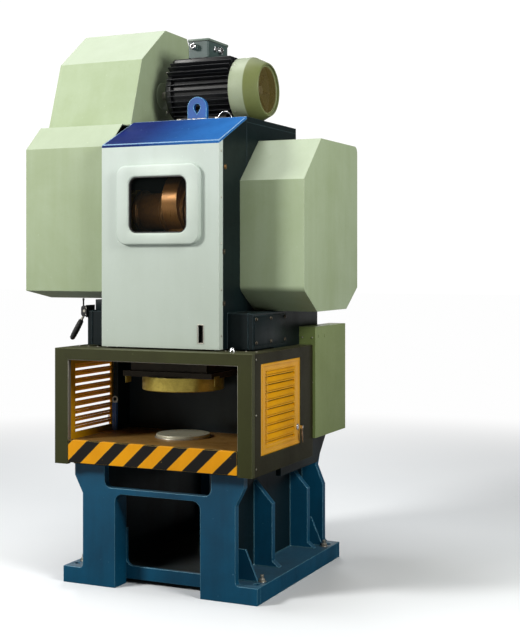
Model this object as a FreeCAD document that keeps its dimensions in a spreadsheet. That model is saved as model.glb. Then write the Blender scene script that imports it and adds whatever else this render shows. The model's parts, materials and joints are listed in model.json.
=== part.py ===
import FreeCAD, Part
import math
import os
import re
import Sketcher

# Mechanical stamping press: a fabricated C-frame press with one crank and one slide.
# The origin is the floor point in the middle of the four anchor holes.
# +X is the operator's right, +Y runs to the back of the press and +Z is up.
# All lengths are millimetres.

# Driving sizes. Each name is the alias of a cell that holds one plain number.
SIZES = (
    # Base and its foot rails
    ("base_width", 1170), ("base_depth", 1160), ("base_height", 655),
    ("rail_height", 88), ("plate_thick", 40), ("leg_outer", 460), ("leg_inner", 258),
    ("leg_depth", 120), ("arch_drop", 150), ("web_drop", 120), ("slot_half", 322),
    ("shoulder_half", 510), ("shoulder_drop", 64), ("shoulder_slant", 96),
    ("arch_round", 45), ("slot_round", 40), ("root_round", 20),
    ("wall_inner", 320), ("wall_outer", 360),
    ("waist_half", 450), ("waist_drop", 115), ("knee_half", 495), ("knee_drop", 225),
    ("rear_top_half", 470), ("rear_arch_low", 180), ("rear_arch_drop", 175),
    ("hand_hole_back", 60), ("hand_hole_wide", 50), ("hand_hole_low", 120),
    ("hand_hole_high", 250),
    ("rib_thick", 40), ("rib_front", -120), ("rib_back", 380), ("rib_knee_half", 470),
    ("rib_root_drop", 102), ("rib_knee_drop", 222), ("rib_flare_half", 510),
    ("rib_flare_rise", 32),
    ("gusset_thick", 12), ("gusset_inset", 130), ("gusset_foot_half", 530),
    ("gusset_rise", 162),
    ("anchor_hole", 34), ("anchor_side", 40), ("anchor_end", 80),
    ("tie_low", 25), ("tie_high", 95), ("tie_thick", 20), ("tie_ear", 205),
    ("floor_plate_thick", 12), ("floor_plate_low", 76),
    # Bed and C-frame
    ("bed_thick", 95), ("bolster_thick", 40), ("bolster_half", 500), ("bolster_front", -630),
    ("frame_half", 505), ("frame_plate", 30), ("arm_front", -600), ("throat_depth", -190),
    ("throat_height", 504), ("frame_front", -460), ("frame_back", 430),
    ("shoulder_height", 186), ("shoulder_plate", 20), ("bulge_back", 560),
    ("bulge_low_rise", 65), ("bulge_high_drop", 44), ("bulge_top_rise", 86),
    ("frame_foot_drop", 75), ("frame_foot_front", -100),
    ("throat_plate_front", -60), ("throat_plate_thick", 20),
    ("bed_disc_radius", 147.5), ("bed_disc_thick", 20), ("bed_disc_edge", 3),
    # Head
    ("head_half", 355), ("head_plate", 30), ("head_height", 1246), ("head_front", -510),
    ("head_back", 463), ("ridge", -219), ("roof_drop", 160), ("roof_plate", 12),
    ("cover_depth", 45), ("cover_wall", 6),
    ("window_half", 175), ("window_low", 610), ("window_high", 909), ("window_round", 45),
    ("window_rim", 62), ("window_rim_wide", 75), ("window_rim_round", 58),
    ("window_rim_raise", 28), ("glass_thick", 4), ("glass_lap", 10), ("glass_gap", 0.5),
    ("gauge_slot_left", 233), ("gauge_slot_right", 263), ("gauge_slot_low", 33),
    ("gauge_slot_high", 126),
    ("lug_middle", 46.5), ("lug_half", 58.5), ("lug_height", 124), ("lug_thick", 25),
    ("lug_hole", 21), ("lug_tip", 38), ("lug_setback", 6),
    # Crank drive
    ("crank_rise", 736), ("crank_back", -285), ("throw_length", 40), ("journal_radius", 85),
    ("cheek_radius", 125), ("cheek_thick", 14), ("sheave_radius", 135), ("rod_half", 45),
    ("cheek_gap", 1), ("rod_eye_radius", 165), ("rod_length", 520), ("rod_shank_end", 340),
    ("rod_shank_top_half", 85), ("rod_shank_half", 65),
    ("screw_radius", 42), ("nut_radius", 75), ("nut_height", 25), ("ball_radius", 60),
    ("run_gap", 0.05), ("guide_gap", 0.3), ("crank_end_gap", 2), ("bearing_skin", 8),
    ("bearing_flange", 125), ("bearing_sleeve", 110), ("bearing_inner", 45),
    ("shaft_centres", 300), ("shaft_radius", 45), ("shaft_flange", 90), ("shaft_sleeve", 75),
    ("gear_module", 10), ("gear_teeth", 40), ("pinion_teeth", 20), ("gear_backlash", 1.2),
    ("gear_inner", 150), ("gear_width", 80), ("gear_hub_radius", 120), ("gear_web", 36),
    ("pinion_extra", 10),
    # Slide
    ("slide_half", 230), ("slide_front_reach", 170), ("slide_back_reach", 170),
    ("slide_low_rise", 340), ("slide_height", 510), ("slide_flange_half", 270),
    ("slide_flange_thick", 30), ("slide_flange_reach", 190), ("pocket_half", 112),
    ("pocket_depth", 240), ("shank_bore", 25), ("shank_depth", 50),
    ("ring_radius", 225), ("ring_thick", 75), ("ring_edge", 4),
    ("gib_inner", 180), ("gib_lip", 25),
    # Flywheel, brake and their guards
    ("flywheel_radius", 400), ("flywheel_width", 150), ("flywheel_rim", 55),
    ("flywheel_web", 40), ("flywheel_hub", 95), ("flywheel_holes", 6),
    ("flywheel_hole", 60), ("flywheel_hole_circle", 220),
    ("belt_place", 485), ("belt_pitch", 30), ("belt_count", 4), ("belt_half", 11.4),
    ("belt_foot_half", 6.7), ("belt_deep", 17), ("groove_half", 12), ("groove_foot_half", 6.5),
    ("groove_deep", 20),
    ("drum_radius", 230), ("drum_width", 140), ("drum_inner", 420), ("drum_wall", 30),
    ("drum_web", 40), ("drum_hub", 90),
    ("guard_wall", 4),
    ("wheel_guard_left", 900), ("wheel_guard_front", -485), ("wheel_guard_back", 510),
    ("wheel_guard_low_rise", 249), ("wheel_guard_step_rise", 294),
    ("wheel_guard_step_back", -235), ("wheel_guard_brow_rise", 1091),
    ("wheel_guard_brow_back", -343), ("wheel_guard_height", 1226),
    ("belt_guard_left", 909), ("belt_guard_front", -250), ("belt_guard_knee", -125),
    ("belt_guard_knee_rise", 395), ("belt_guard_peak", 150), ("belt_guard_peak_rise", 605),
    ("belt_guard_top_back", 420), ("belt_guard_back", 500), ("belt_guard_back_rise", 470),
    ("belt_slot_left", 600), ("belt_slot_right", 380), ("belt_slot_front", -250),
    ("belt_slot_back", 370),
    ("drum_guard_right", 728), ("drum_guard_front", -305), ("drum_guard_low_front", -120),
    ("drum_guard_low_back", 320), ("drum_guard_back", 500), ("drum_guard_front_rise", 309),
    ("drum_guard_brow_rise", 893), ("drum_guard_brow_back", -65),
    ("drum_guard_top_rise", 1126), ("drum_guard_lift", 3), ("drum_guard_round", 40),
    # Enclosure round the die space
    ("box_half", 590), ("box_front", -655), ("box_pan", 30), ("box_skin", 4),
    ("box_lift", 5), ("box_top_drop", 9), ("box_back", 150), ("box_side_thick", 22),
    ("box_opening_half", 510), ("box_top_rail", 60), ("box_top_thick", 6),
    ("hazard_half", 505), ("hazard_low", 10), ("hazard_height", 120), ("hazard_thick", 25),
    ("door_front", -544), ("door_back", -30), ("door_low_rise", 97), ("door_high_drop", 59),
    ("door_thick", 12), ("door_gap", 2), ("hinge_inset", 10), ("hinge_pin", 5),
    ("hinge_pin_long", 12), ("louvre_front", 62), ("louvre_back", 70), ("louvre_low", 48),
    ("louvre_high", 40), ("louvre_count", 9), ("louvre_blade", 3), ("louvre_drop", 16),
    ("lock_radius", 9), ("lock_flange", 13), ("lock_flange_thick", 3), ("lock_inset", 30),
    ("lock_rise", 93), ("cam_long", 24), ("cam_wide", 12), ("cam_thick", 3),
    ("key_wide", 16), ("key_long", 30), ("key_thick", 2.5),
    # Side cabinet, hand lever and safety block
    ("cabinet_outer", 605), ("cabinet_front", 155), ("cabinet_back", 627),
    ("cabinet_low_rise", 105), ("cabinet_height", 625), ("cabinet_slot_wide", 8),
    ("cabinet_slot_high", 22),
    ("lever_rise", 184), ("lever_back", -430), ("lever_pin", 8), ("lever_boss", 18),
    ("lever_inset", 20), ("clevis_web", 8),
    ("lever_arm", 62), ("lever_grip_long", 127), ("lever_grip_radius", 17),
    ("lever_neck_radius", 7), ("lever_lean", 31), ("clevis_cheek", 10), ("clevis_gap", 24),
    ("clevis_reach", 50), ("clevis_height", 60),
    ("block_wide", 25), ("block_deep", 20), ("block_height", 160), ("block_gap", 2),
    ("block_ring", 15), ("block_ring_wire", 4),
    # Motor
    ("motor_back", 120), ("motor_shaft_height", 190), ("motor_left", -255),
    ("motor_right", 185), ("motor_barrel", 156), ("motor_bore", 24), ("motor_wall", 30),
    ("motor_shield", 15), ("motor_fins", 36), ("fin_reach", 30), ("fin_thick", 4),
    ("fin_margin", 30), ("foot_inner", 85), ("foot_outer", 165), ("foot_thick", 18),
    ("foot_web", 20), ("foot_margin", 50), ("boss_left", -98), ("boss_right", -8),
    ("boss_low", 80), ("boss_rise", 190),
    ("cowl_left", 165), ("cowl_right", 335), ("cowl_radius", 188), ("cowl_step", 245),
    ("cowl_end_radius", 150), ("cowl_skin", 3), ("cowl_rim", 8), ("cowl_slots", 14),
    ("grille_inset", 15), ("grille_slot_low", 30), ("grille_slot_high", 135),
    ("grille_slot_wide", 10),
    ("rotor_radius", 112), ("rotor_left", -175), ("rotor_right", 110),
    ("rotor_tail", 70), ("fan_left", 215), ("fan_width", 55), ("fan_hub", 40),
    ("fan_reach", 145), ("fan_blades", 8), ("fan_blade_thick", 5),
    ("pulley_radius", 90), ("pulley_hub", 50),
    ("box_left", -118), ("box_right", 12), ("box_half_deep", 125), ("box_high", 99),
    ("box_round", 8), ("gland_place", -74), ("gland_radius", 18), ("gland_long", 26),
    ("gland_drop", 37),
)

# Places worked out from the driving sizes, each a formula on the sizes above.
PLACES = (
    ("half_width", "base_width / 2"), ("half_depth", "base_depth / 2"),
    ("shoulder_low", "base_height - shoulder_drop"),
    ("leg_top", "base_height - shoulder_drop - shoulder_slant"),
    ("arch_top", "base_height - arch_drop"),
    ("web_high", "base_height - web_drop"),
    ("rear_high", "base_height - rear_arch_drop"),
    ("bed_block_top", "base_height + bed_thick"),
    ("bed_top", "bed_block_top + bolster_thick"),
    ("head_low", "bed_top + throat_height"),
    ("head_top", "head_low + head_height"),
    ("shoulder_top", "head_low + shoulder_height"),
    ("roof_low", "head_top - roof_drop"),
    ("roof_fall", "roof_drop / (ridge - (head_front - cover_depth))"),
    ("roof_thick_up", "roof_plate * sqrt(1 + roof_fall * roof_fall)"),
    ("cover_front", "head_front - cover_depth"),
    ("cover_brow", "roof_low - roof_thick_up"),
    ("lug_centre", "head_top + lug_height - lug_half"),
    ("lug_flank", "lug_hole * sqrt(1 - (lug_hole / lug_tip) ^ 2)"),
    ("lug_flank_drop", "lug_hole * lug_hole / lug_tip"),
    ("cover_crown", "cover_brow + cover_depth * roof_fall"),
    ("head_inner", "head_half - head_plate"),
    ("frame_inner", "frame_half - frame_plate"),
    ("crank_up", "head_low + crank_rise"),
    ("shaft_back", "crank_back + shaft_centres"),
    ("rod_up", "crank_up + throw_length"),
    ("slide_low", "bed_top + slide_low_rise"),
    ("slide_high", "slide_low + slide_height"),
    ("slide_front", "crank_back - slide_front_reach"),
    ("slide_back", "crank_back + slide_back_reach"),
    ("box_low", "base_height + box_lift"),
    ("box_top", "head_low - box_top_drop"),
    ("box_inner", "box_half - box_side_thick"),
    ("box_pan_back", "box_front + box_pan"),
    ("door_low", "box_low + door_low_rise"),
    ("door_high", "box_top - door_high_drop"),
    ("door_mid", "box_half - hinge_inset"),
    ("hinge_place", "door_front + door_thick / 2"),
    ("lock_back", "door_back - lock_inset"),
    ("lock_up", "door_low + lock_rise"),
    ("wheel_guard_top", "head_low + wheel_guard_height"),
    ("motor_up", "head_top + motor_shaft_height"),
    ("lever_up", "head_low + lever_rise"),
    ("lever_side", "frame_half + clevis_reach - lever_inset"),
    ("flywheel_inner", "belt_place - flywheel_width / 2"),
    ("cheek_out", "rod_half + cheek_gap + cheek_thick"),
    ("cowl_fall", "(cowl_radius - cowl_end_radius) / (cowl_right - cowl_step)"),
)

SIDES = ((-1, "left"), (1, "right"))

doc = FreeCAD.newDocument("StampingPress")
sub_parts = []


def formula(text):
    """Give a formula with every alias in it led by the name of its sheet."""
    def qualify(match):
        word = match.group(0)
        if word in size_names:
            return "Sizes." + word
        if word in place_names:
            return "Places." + word
        return word
    return re.sub(r"[a-z_]+[a-z0-9_]*", qualify, str(text))


def make_sheets():
    """Fill the sheet of driving sizes and the sheet of places worked out from them."""
    sizes = doc.addObject("Spreadsheet::Sheet", "Sizes")
    for row, (name, number) in enumerate(SIZES, 1):
        sizes.set(f"A{row}", name)
        sizes.set(f"B{row}", str(number))
        sizes.setAlias(f"B{row}", name)
    places = doc.addObject("Spreadsheet::Sheet", "Places")
    for row, (name, text) in enumerate(PLACES, 1):
        places.set(f"A{row}", name)
        own = formula(text).replace("Places.", "")
        places.set(f"B{row}", "=" + own)
        places.setAlias(f"B{row}", name)
    doc.recompute()
    return sizes


def number(text):
    """Work out a formula on the two sheets as a plain number."""
    result = sheet.evalExpression(formula(text))
    return float(getattr(result, "Value", result))


def tie(item, kind, index, point, text):
    """Hold one point of a sketch's line or circle at a formula's distance from its origin."""
    place = item.addConstraint(Sketcher.Constraint(kind, -1, 1, index, point, number(text)))
    item.setExpression(f"Constraints[{place}]", formula(text))


def draw(item, loop):
    """Draw a closed loop: ("circle", x, y, radius), or the corners of an outline."""
    first = item.GeometryCount
    if loop[0] == "circle":
        centre = FreeCAD.Vector(number(loop[1]), number(loop[2]), 0)
        item.addGeometry(Part.Circle(centre, FreeCAD.Vector(0, 0, 1), number(loop[3])), False)
        tie(item, "DistanceX", first, 3, loop[1])
        tie(item, "DistanceY", first, 3, loop[2])
        radius = item.addConstraint(Sketcher.Constraint("Radius", first, number(loop[3])))
        item.setExpression(f"Constraints[{radius}]", formula(loop[3]))
        return
    corners = [FreeCAD.Vector(number(x), number(y), 0) for x, y in loop]
    count = len(corners)
    for index in range(count):
        line = Part.LineSegment(corners[index], corners[(index + 1) % count])
        item.addGeometry(line, False)
    for index in range(count):
        following = first + (index + 1) % count
        item.addConstraint(Sketcher.Constraint("Coincident", first + index, 2, following, 1))
    for index, (x, y) in enumerate(loop):
        tie(item, "DistanceX", first + index, 1, x)
        tie(item, "DistanceY", first + index, 1, y)


def rectangle(left, low, right, high):
    """Give the corners of a rectangle."""
    return [(left, low), (right, low), (right, high), (left, high)]


def minus(text):
    """Give the negative of a formula."""
    return f"-({text})"


def mirrored(half):
    """Complete a symmetrical outline from its right half, listed from top to bottom."""
    return half + [(minus(x), y) for x, y in reversed(half)]


def both(x, y):
    """Give a point on the right and its mirror image on the left."""
    return [(x, y), (minus(x), y)]


def span(side, near, far):
    """Give the low and high X of a stretch that lies from near to far on one side."""
    return (near, far) if side > 0 else (minus(far), minus(near))


def keep(item, label):
    """Name a finished sub-part and list it for writing."""
    item.Label = label
    sub_parts.append(item)
    return item


class Piece:
    """A PartDesign body whose sketches and features are tied to the two sheets."""

    AXES = {"XY": "Z_Axis", "XZ": "Y_Axis", "YZ": "X_Axis"}

    def __init__(self, label, kept=True, at=("0", "0", "0")):
        self.name = label
        self.body = doc.addObject("PartDesign::Body", label)
        self.body.AllowCompound = True
        for axis, text in zip("xyz", at):
            if text != "0":
                self.body.setExpression(f"Placement.Base.{axis}", formula(text))
        if kept:
            keep(self.body, label)

    def origin(self, role):
        """Find one of the body's origin planes or axes by its role."""
        return next(f for f in self.body.Origin.OriginFeatures if f.Role == role)

    def feature(self, kind):
        """Add a feature named after the piece and its turn in the body."""
        name = f"{self.name}_{kind.split('::')[1].lower()}_{len(self.body.Group)}"
        return self.body.newObject(kind, name)

    def sketch(self, plane, place, loops):
        """Draw loops on an origin plane that is moved to a place along its own axis."""
        item = self.feature("Sketcher::SketchObject")
        item.AttachmentSupport = [(self.origin(plane + "_Plane"), "")]
        item.MapMode = "FlatFace"
        moved = minus(place) if plane == "XZ" else place
        item.setExpression("AttachmentOffset.Base.z", formula(moved))
        for loop in loops:
            draw(item, loop)
        return item

    def pad(self, plane, low, high, *loops):
        """Add material between two places along the plane's axis."""
        item = self.sketch(plane, high if plane == "XZ" else low, loops)
        feature = self.feature("PartDesign::Pad")
        feature.Profile = item
        feature.setExpression("Length", formula(f"({high}) - ({low})"))
        self.body.Tip = feature
        return feature

    def cut(self, plane, low, high, *loops):
        """Remove material between two places along the plane's axis."""
        doc.recompute()
        before = self.body.Shape.Volume
        item = self.sketch(plane, low if plane == "XZ" else high, loops)
        feature = self.feature("PartDesign::Pocket")
        feature.Profile = item
        feature.setExpression("Length", formula(f"({high}) - ({low})"))
        self.body.Tip = feature
        doc.recompute()
        if not self.body.Shape.Volume < before:
            raise ValueError(f"{self.name}: a pocket removed nothing")
        return feature

    def spin(self, loop, axis="X"):
        """Revolve a profile of (along, radius) points, or (radius, up) about Z."""
        item = self.sketch("XZ", "0", [loop])
        feature = self.feature("PartDesign::Revolution")
        feature.Profile = item
        feature.ReferenceAxis = (item, ["H_Axis" if axis == "X" else "V_Axis"])
        feature.Angle = 360
        self.body.Tip = feature
        return feature

    def around(self, original, count, role="X_Axis"):
        """Repeat a feature round one of the body's axes."""
        doc.recompute()
        feature = self.feature("PartDesign::PolarPattern")
        feature.Originals = [original]
        feature.Axis = (self.origin(role), [""])
        feature.Angle = 360
        feature.setExpression("Occurrences", formula(count))
        self.body.Tip = feature
        return feature

    def along(self, original, length, count, role="Z_Axis"):
        """Repeat a feature in a row along one of the body's axes."""
        doc.recompute()
        feature = self.feature("PartDesign::LinearPattern")
        feature.Originals = [original]
        feature.Direction = (self.origin(role), [""])
        feature.setExpression("Length", formula(length))
        feature.setExpression("Occurrences", formula(count))
        self.body.Tip = feature
        return feature

    def round_edges(self, plane, radius, corners):
        """Round the edges that run along a plane's axis through the corners given."""
        doc.recompute()
        keys = {"XY": ("x", "y"), "XZ": ("x", "z"), "YZ": ("y", "z")}[plane]
        wanted = [(number(u), number(v)) for u, v in corners]
        found = []
        tip = self.body.Tip
        for index, edge in enumerate(tip.Shape.Edges, 1):
            ends = [tuple(getattr(v.Point, key) for key in keys) for v in edge.Vertexes]
            if len(ends) < 2 or math.dist(ends[0], ends[1]) > 0.01:
                continue
            if any(math.dist(ends[0], corner) < 0.02 for corner in wanted):
                found.append(f"Edge{index}")
        feature = self.feature("PartDesign::Fillet")
        feature.Base = (tip, found)
        feature.setExpression("Radius", formula(radius))
        self.body.Tip = feature
        return feature

    def hollow(self, wall, axis, place):
        """Shell the solid to a wall, open on the flat face that lies across an axis."""
        doc.recompute()
        tip = self.body.Tip
        target = number(place)
        found = []
        for index, face in enumerate(tip.Shape.Faces, 1):
            box = face.BoundBox
            low, high = getattr(box, axis + "Min"), getattr(box, axis + "Max")
            if abs(low - target) < 0.02 and abs(high - target) < 0.02:
                found.append(f"Face{index}")
        feature = self.feature("PartDesign::Thickness")
        feature.Base = (tip, found)
        feature.setExpression("Value", formula(wall))
        feature.Reversed = True
        self.body.Tip = feature
        return feature


def ring_profile(low, high, inner, outer):
    """Give the profile of a plain ring between two places and two radii."""
    return rectangle(low, inner, high, outer)


# Base -----------------------------------------------------------------------------------

def base_front_plate():
    """Front plate of the base with its arch and slot, and the inner cheeks of the legs."""
    piece = Piece("base_front_plate")
    half = [("slot_half", "base_height"), ("shoulder_half", "base_height"),
            ("shoulder_half", "shoulder_low"), ("leg_outer", "leg_top"),
            ("leg_outer", "rail_height"), ("half_width", "rail_height"),
            ("half_width", "0"), ("leg_inner", "0"), ("leg_inner", "arch_top")]
    outline = mirrored(half)
    outline += [("-slot_half", "web_high"), ("slot_half", "web_high")]
    back = "-half_depth + plate_thick"
    piece.pad("XZ", "-half_depth", back, outline)
    piece.round_edges("XZ", "arch_round", both("leg_inner", "arch_top"))
    piece.round_edges("XZ", "slot_round", both("slot_half", "web_high"))
    piece.round_edges("XZ", "root_round", both("leg_outer", "rail_height"))
    for side, _ in SIDES:
        low, high = span(side, "leg_inner", "wall_inner")
        cheek = rectangle(low, "0", high, "arch_top")
        piece.pad("XZ", back, "-half_depth + leg_depth", cheek)


def base_rear_plate():
    """Rear plate of the base, waisted at the top, with a window over its sill."""
    piece = Piece("base_rear_plate")
    half = [("rear_top_half", "base_height"), ("waist_half", "base_height - waist_drop"),
            ("knee_half", "base_height - knee_drop"), ("knee_half", "rail_height"),
            ("half_width", "rail_height"), ("half_width", "0")]
    front = "half_depth - plate_thick"
    piece.pad("XZ", front, "half_depth", mirrored(half))
    piece.round_edges("XZ", "root_round", both("knee_half", "rail_height"))
    window = rectangle("-leg_inner", "rear_arch_low", "leg_inner", "rear_high")
    piece.cut("XZ", front, "half_depth", window)
    piece.round_edges("XZ", "arch_round", both("leg_inner", "rear_high"))
    piece.round_edges("XZ", "arch_round", both("leg_inner", "rear_arch_low"))


def base_side_walls():
    """Side walls between the front and rear plates, each with a hand hole at the back."""
    front = "-half_depth + plate_thick"
    back = "half_depth - plate_thick"
    hole_back = f"{back} - hand_hole_back + hand_hole_wide / 2"
    for side, name in SIDES:
        piece = Piece(f"base_side_wall_{name}")
        low, high = span(side, "wall_inner", "wall_outer")
        piece.pad("XZ", front, back, rectangle(low, "0", high, "base_height"))
        hole = rectangle(f"{hole_back} - hand_hole_wide", "hand_hole_low",
                         hole_back, "hand_hole_high")
        piece.cut("YZ", low, high, hole)


def foot_rails():
    """Foot rails outside the walls, each with two anchor holes right through."""
    front = "-half_depth + plate_thick"
    back = "half_depth - plate_thick"
    piece = Piece("foot_rails")
    for side, _ in SIDES:
        low, high = span(side, "wall_outer", "half_width")
        piece.pad("XY", "0", "rail_height", rectangle(low, front, high, back))
        place = f"{side} * (half_width - anchor_side)"
        holes = [("circle", place, f"{end} * (half_depth - anchor_end)", "anchor_hole / 2")
                 for end in (-1, 1)]
        piece.cut("XY", "0", "rail_height", *holes)


def base_ribs():
    """Two upright ribs on the outside of each wall, flared where they meet the rail."""
    piece = Piece("base_ribs")
    half = [("wall_outer", "base_height - rib_root_drop"),
            ("rib_knee_half", "base_height - rib_knee_drop"),
            ("rib_knee_half", "rail_height + rib_flare_rise"),
            ("rib_flare_half", "rail_height"), ("wall_outer", "rail_height")]
    for side, _ in SIDES:
        outline = [(f"{side} * {x}", z) for x, z in half]
        for middle in ("rib_front", "rib_back"):
            low, high = f"{middle} - rib_thick / 2", f"{middle} + rib_thick / 2"
            piece.pad("XZ", low, high, outline)


def corner_gussets():
    """Triangular gussets between the walls and the rails near the four corners."""
    piece = Piece("corner_gussets")
    half = [("wall_outer", "rail_height"), ("gusset_foot_half", "rail_height"),
            ("leg_outer", "rail_height + gusset_rise"),
            ("wall_outer", "rail_height + gusset_rise")]
    for side, _ in SIDES:
        outline = [(f"{side} * {x}", z) for x, z in half]
        for end in (-1, 1):
            middle = f"{end} * (half_depth - gusset_inset)"
            low, high = f"{middle} - gusset_thick / 2", f"{middle} + gusset_thick / 2"
            piece.pad("XZ", low, high, outline)


def base_inner_plates():
    """Tie plate low behind the legs, and the floor plate that runs back from it."""
    tie = Piece("base_tie_plate")
    front = "-half_depth + leg_depth"
    half = [("leg_inner", "tie_high + tie_ear"), ("wall_inner", "tie_high + tie_ear"),
            ("wall_inner", "tie_low")]
    outline = mirrored(half) + [("-leg_inner", "tie_high"), ("leg_inner", "tie_high")]
    tie.pad("XZ", front, f"{front} + tie_thick", outline)
    tie.round_edges("XZ", "slot_round", both("leg_inner", "tie_high"))
    floor = Piece("base_floor_plate")
    place = rectangle("-wall_inner", f"{front} + tie_thick",
                      "wall_inner", "half_depth - plate_thick")
    floor.pad("XY", "floor_plate_low", "floor_plate_low + floor_plate_thick", place)


# Bed and C-frame ------------------------------------------------------------------------

def bed():
    """Bed block between the frame plates, the T-shaped bolster and its die seat disc."""
    block = Piece("bed_block")
    block.pad("XY", "base_height", "bed_block_top",
              rectangle("-frame_inner", "arm_front", "frame_inner", "frame_back"))
    bolster = Piece("bolster_plate")
    half = [("bolster_half", "bolster_front"), ("bolster_half", "throat_depth"),
            ("frame_inner", "throat_depth"), ("frame_inner", "throat_plate_front")]
    outline = half + [(minus(x), y) for x, y in reversed(half)]
    bolster.pad("XY", "bed_block_top", "bed_top", outline)
    disc = Piece("bed_disc", at=("0", "crank_back", "bed_top"))
    disc.spin([("0", "0"), ("bed_disc_radius", "0"),
               ("bed_disc_radius", "bed_disc_thick - bed_disc_edge"),
               ("bed_disc_radius - bed_disc_edge", "bed_disc_thick"),
               ("0", "bed_disc_thick")], axis="Z")


def c_frames():
    """Two C-shaped frame plates with the throat between their arms."""
    outline = [("arm_front", "base_height"), ("arm_front", "bed_block_top"),
               ("throat_depth", "bed_block_top"), ("throat_depth", "head_low"),
               ("frame_front", "head_low"), ("frame_front", "shoulder_top"),
               ("frame_back", "shoulder_top"), ("frame_back", "head_low + bulge_top_rise"),
               ("bulge_back", "head_low - bulge_high_drop"),
               ("bulge_back", "base_height + bulge_low_rise"),
               ("frame_back", "base_height - frame_foot_drop"),
               ("frame_foot_front", "base_height - frame_foot_drop"),
               ("frame_foot_front", "base_height")]
    for side, name in SIDES:
        piece = Piece(f"c_frame_{name}")
        low, high = span(side, "frame_inner", "frame_half")
        piece.pad("YZ", low, high, outline)


def throat_plate():
    """Plate across the back of the throat between the frame plates."""
    piece = Piece("throat_plate")
    piece.pad("XZ", "throat_plate_front", "throat_plate_front + throat_plate_thick",
              rectangle("-frame_inner", "bed_block_top", "frame_inner", "head_low"))


def shoulder_plates():
    """Angled plates that close the shoulders between the frame plates and the head."""
    inner_front = "frame_front + shoulder_plate"
    inner_top = "shoulder_top - shoulder_plate"
    outline = [("frame_front", "head_low"), (inner_front, "head_low"),
               (inner_front, inner_top), ("frame_back", inner_top),
               ("frame_back", "shoulder_top"), ("frame_front", "shoulder_top")]
    piece = Piece("shoulder_plates")
    for side, _ in SIDES:
        low, high = span(side, "head_half", "frame_inner")
        piece.pad("YZ", low, high, outline)


# Head -----------------------------------------------------------------------------------

def head_sides():
    """Side plates of the head, bored for the bearings of the crank and the drive shaft."""
    under_top = "head_top - head_plate"
    outline = [("head_front", "head_low"), ("head_front", "cover_crown"),
               ("ridge", "head_top - roof_thick_up"), ("ridge", under_top),
               ("head_back", under_top), ("head_back", "head_low")]
    for side, name in SIDES:
        piece = Piece(f"head_side_{name}")
        low, high = span(side, "head_inner", "head_half")
        piece.pad("YZ", low, high, outline)
        piece.cut("YZ", low, high, ("circle", "shaft_back", "crank_up", "shaft_sleeve"))
        low, high = span(side, "head_inner", "head_half - bearing_skin")
        piece.cut("YZ", low, high, ("circle", "crank_back", "crank_up", "bearing_sleeve"))


def head_plates():
    """Back plate, top plate and sloped roof of the head."""
    back = Piece("head_back_plate")
    back.pad("XZ", "head_back - head_plate", "head_back",
             rectangle("-head_inner", "head_low", "head_inner", "head_top - head_plate"))
    top = Piece("head_top_plate")
    top.pad("XY", "head_top - head_plate", "head_top",
            rectangle("-head_half", "ridge", "head_half", "head_back"))
    roof = Piece("head_roof")
    roof.pad("YZ", "-head_half", "head_half",
             [("cover_front", "roof_low"), ("ridge", "head_top"),
              ("ridge", "head_top - roof_thick_up"), ("cover_front", "cover_brow")])


def lifting_lug():
    """Round-topped eye plate on the head for lifting, with a hole drawn to a point below."""
    piece = Piece("lifting_lug")
    front = "ridge + lug_setback"
    back = f"{front} + lug_thick"
    piece.pad("XZ", front, back, rectangle("lug_middle - lug_half", "head_top",
                                           "lug_middle + lug_half", "lug_centre"))
    piece.pad("XZ", front, back, ("circle", "lug_middle", "lug_centre", "lug_half"))
    piece.cut("XZ", front, back, ("circle", "lug_middle", "lug_centre", "lug_hole"))
    piece.cut("XZ", front, back, [("lug_middle - lug_flank", "lug_centre - lug_flank_drop"),
                                  ("lug_middle", "lug_centre - lug_tip"),
                                  ("lug_middle + lug_flank", "lug_centre - lug_flank_drop")])


def front_cover():
    """Pan-shaped cover on the front of the head, with the window and the gauge slot."""
    piece = Piece("front_cover")
    piece.pad("YZ", "-head_half", "head_half",
              [("cover_front", "head_low"), ("cover_front", "cover_brow"),
               ("head_front", "cover_crown"), ("head_front", "head_low")])
    inside = "cover_front + cover_wall"
    piece.cut("XZ", inside, "head_front + 1",
              rectangle("-head_half + cover_wall", "head_low + cover_wall",
                        "head_half - cover_wall", "cover_brow - cover_wall"))
    opening = window_outline("window_half + glass_lap", "glass_lap")
    slot = rectangle("gauge_slot_left", "head_low + gauge_slot_low",
                     "gauge_slot_right", "head_low + gauge_slot_high")
    piece.cut("XZ", "cover_front", inside, opening, slot)
    piece.round_edges("XZ", "window_round", opening)


def window_outline(half, grow):
    """Give the corners of the window, grown by a margin all round."""
    return rectangle(minus(half), f"head_low + window_low - ({grow})",
                     half, f"head_low + window_high + {grow}")


def window_parts():
    """Raised frame round the window and the pane that it holds against the cover."""
    frame = Piece("window_frame")
    front = "cover_front - window_rim_raise"
    outer = window_outline("window_half + window_rim_wide", "window_rim")
    inner = window_outline("window_half", "0")
    frame.pad("XZ", front, "cover_front", outer)
    frame.round_edges("XZ", "window_rim_round", outer)
    frame.cut("XZ", front, "cover_front", inner)
    frame.round_edges("XZ", "window_round", inner)
    pane = Piece("window_pane")
    edge = window_outline("window_half + glass_lap - glass_gap", "glass_lap - glass_gap")
    pane.pad("XZ", "cover_front", "cover_front + glass_thick", edge)
    pane.round_edges("XZ", "window_round - glass_gap", edge)


# Crank drive ----------------------------------------------------------------------------

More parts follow.
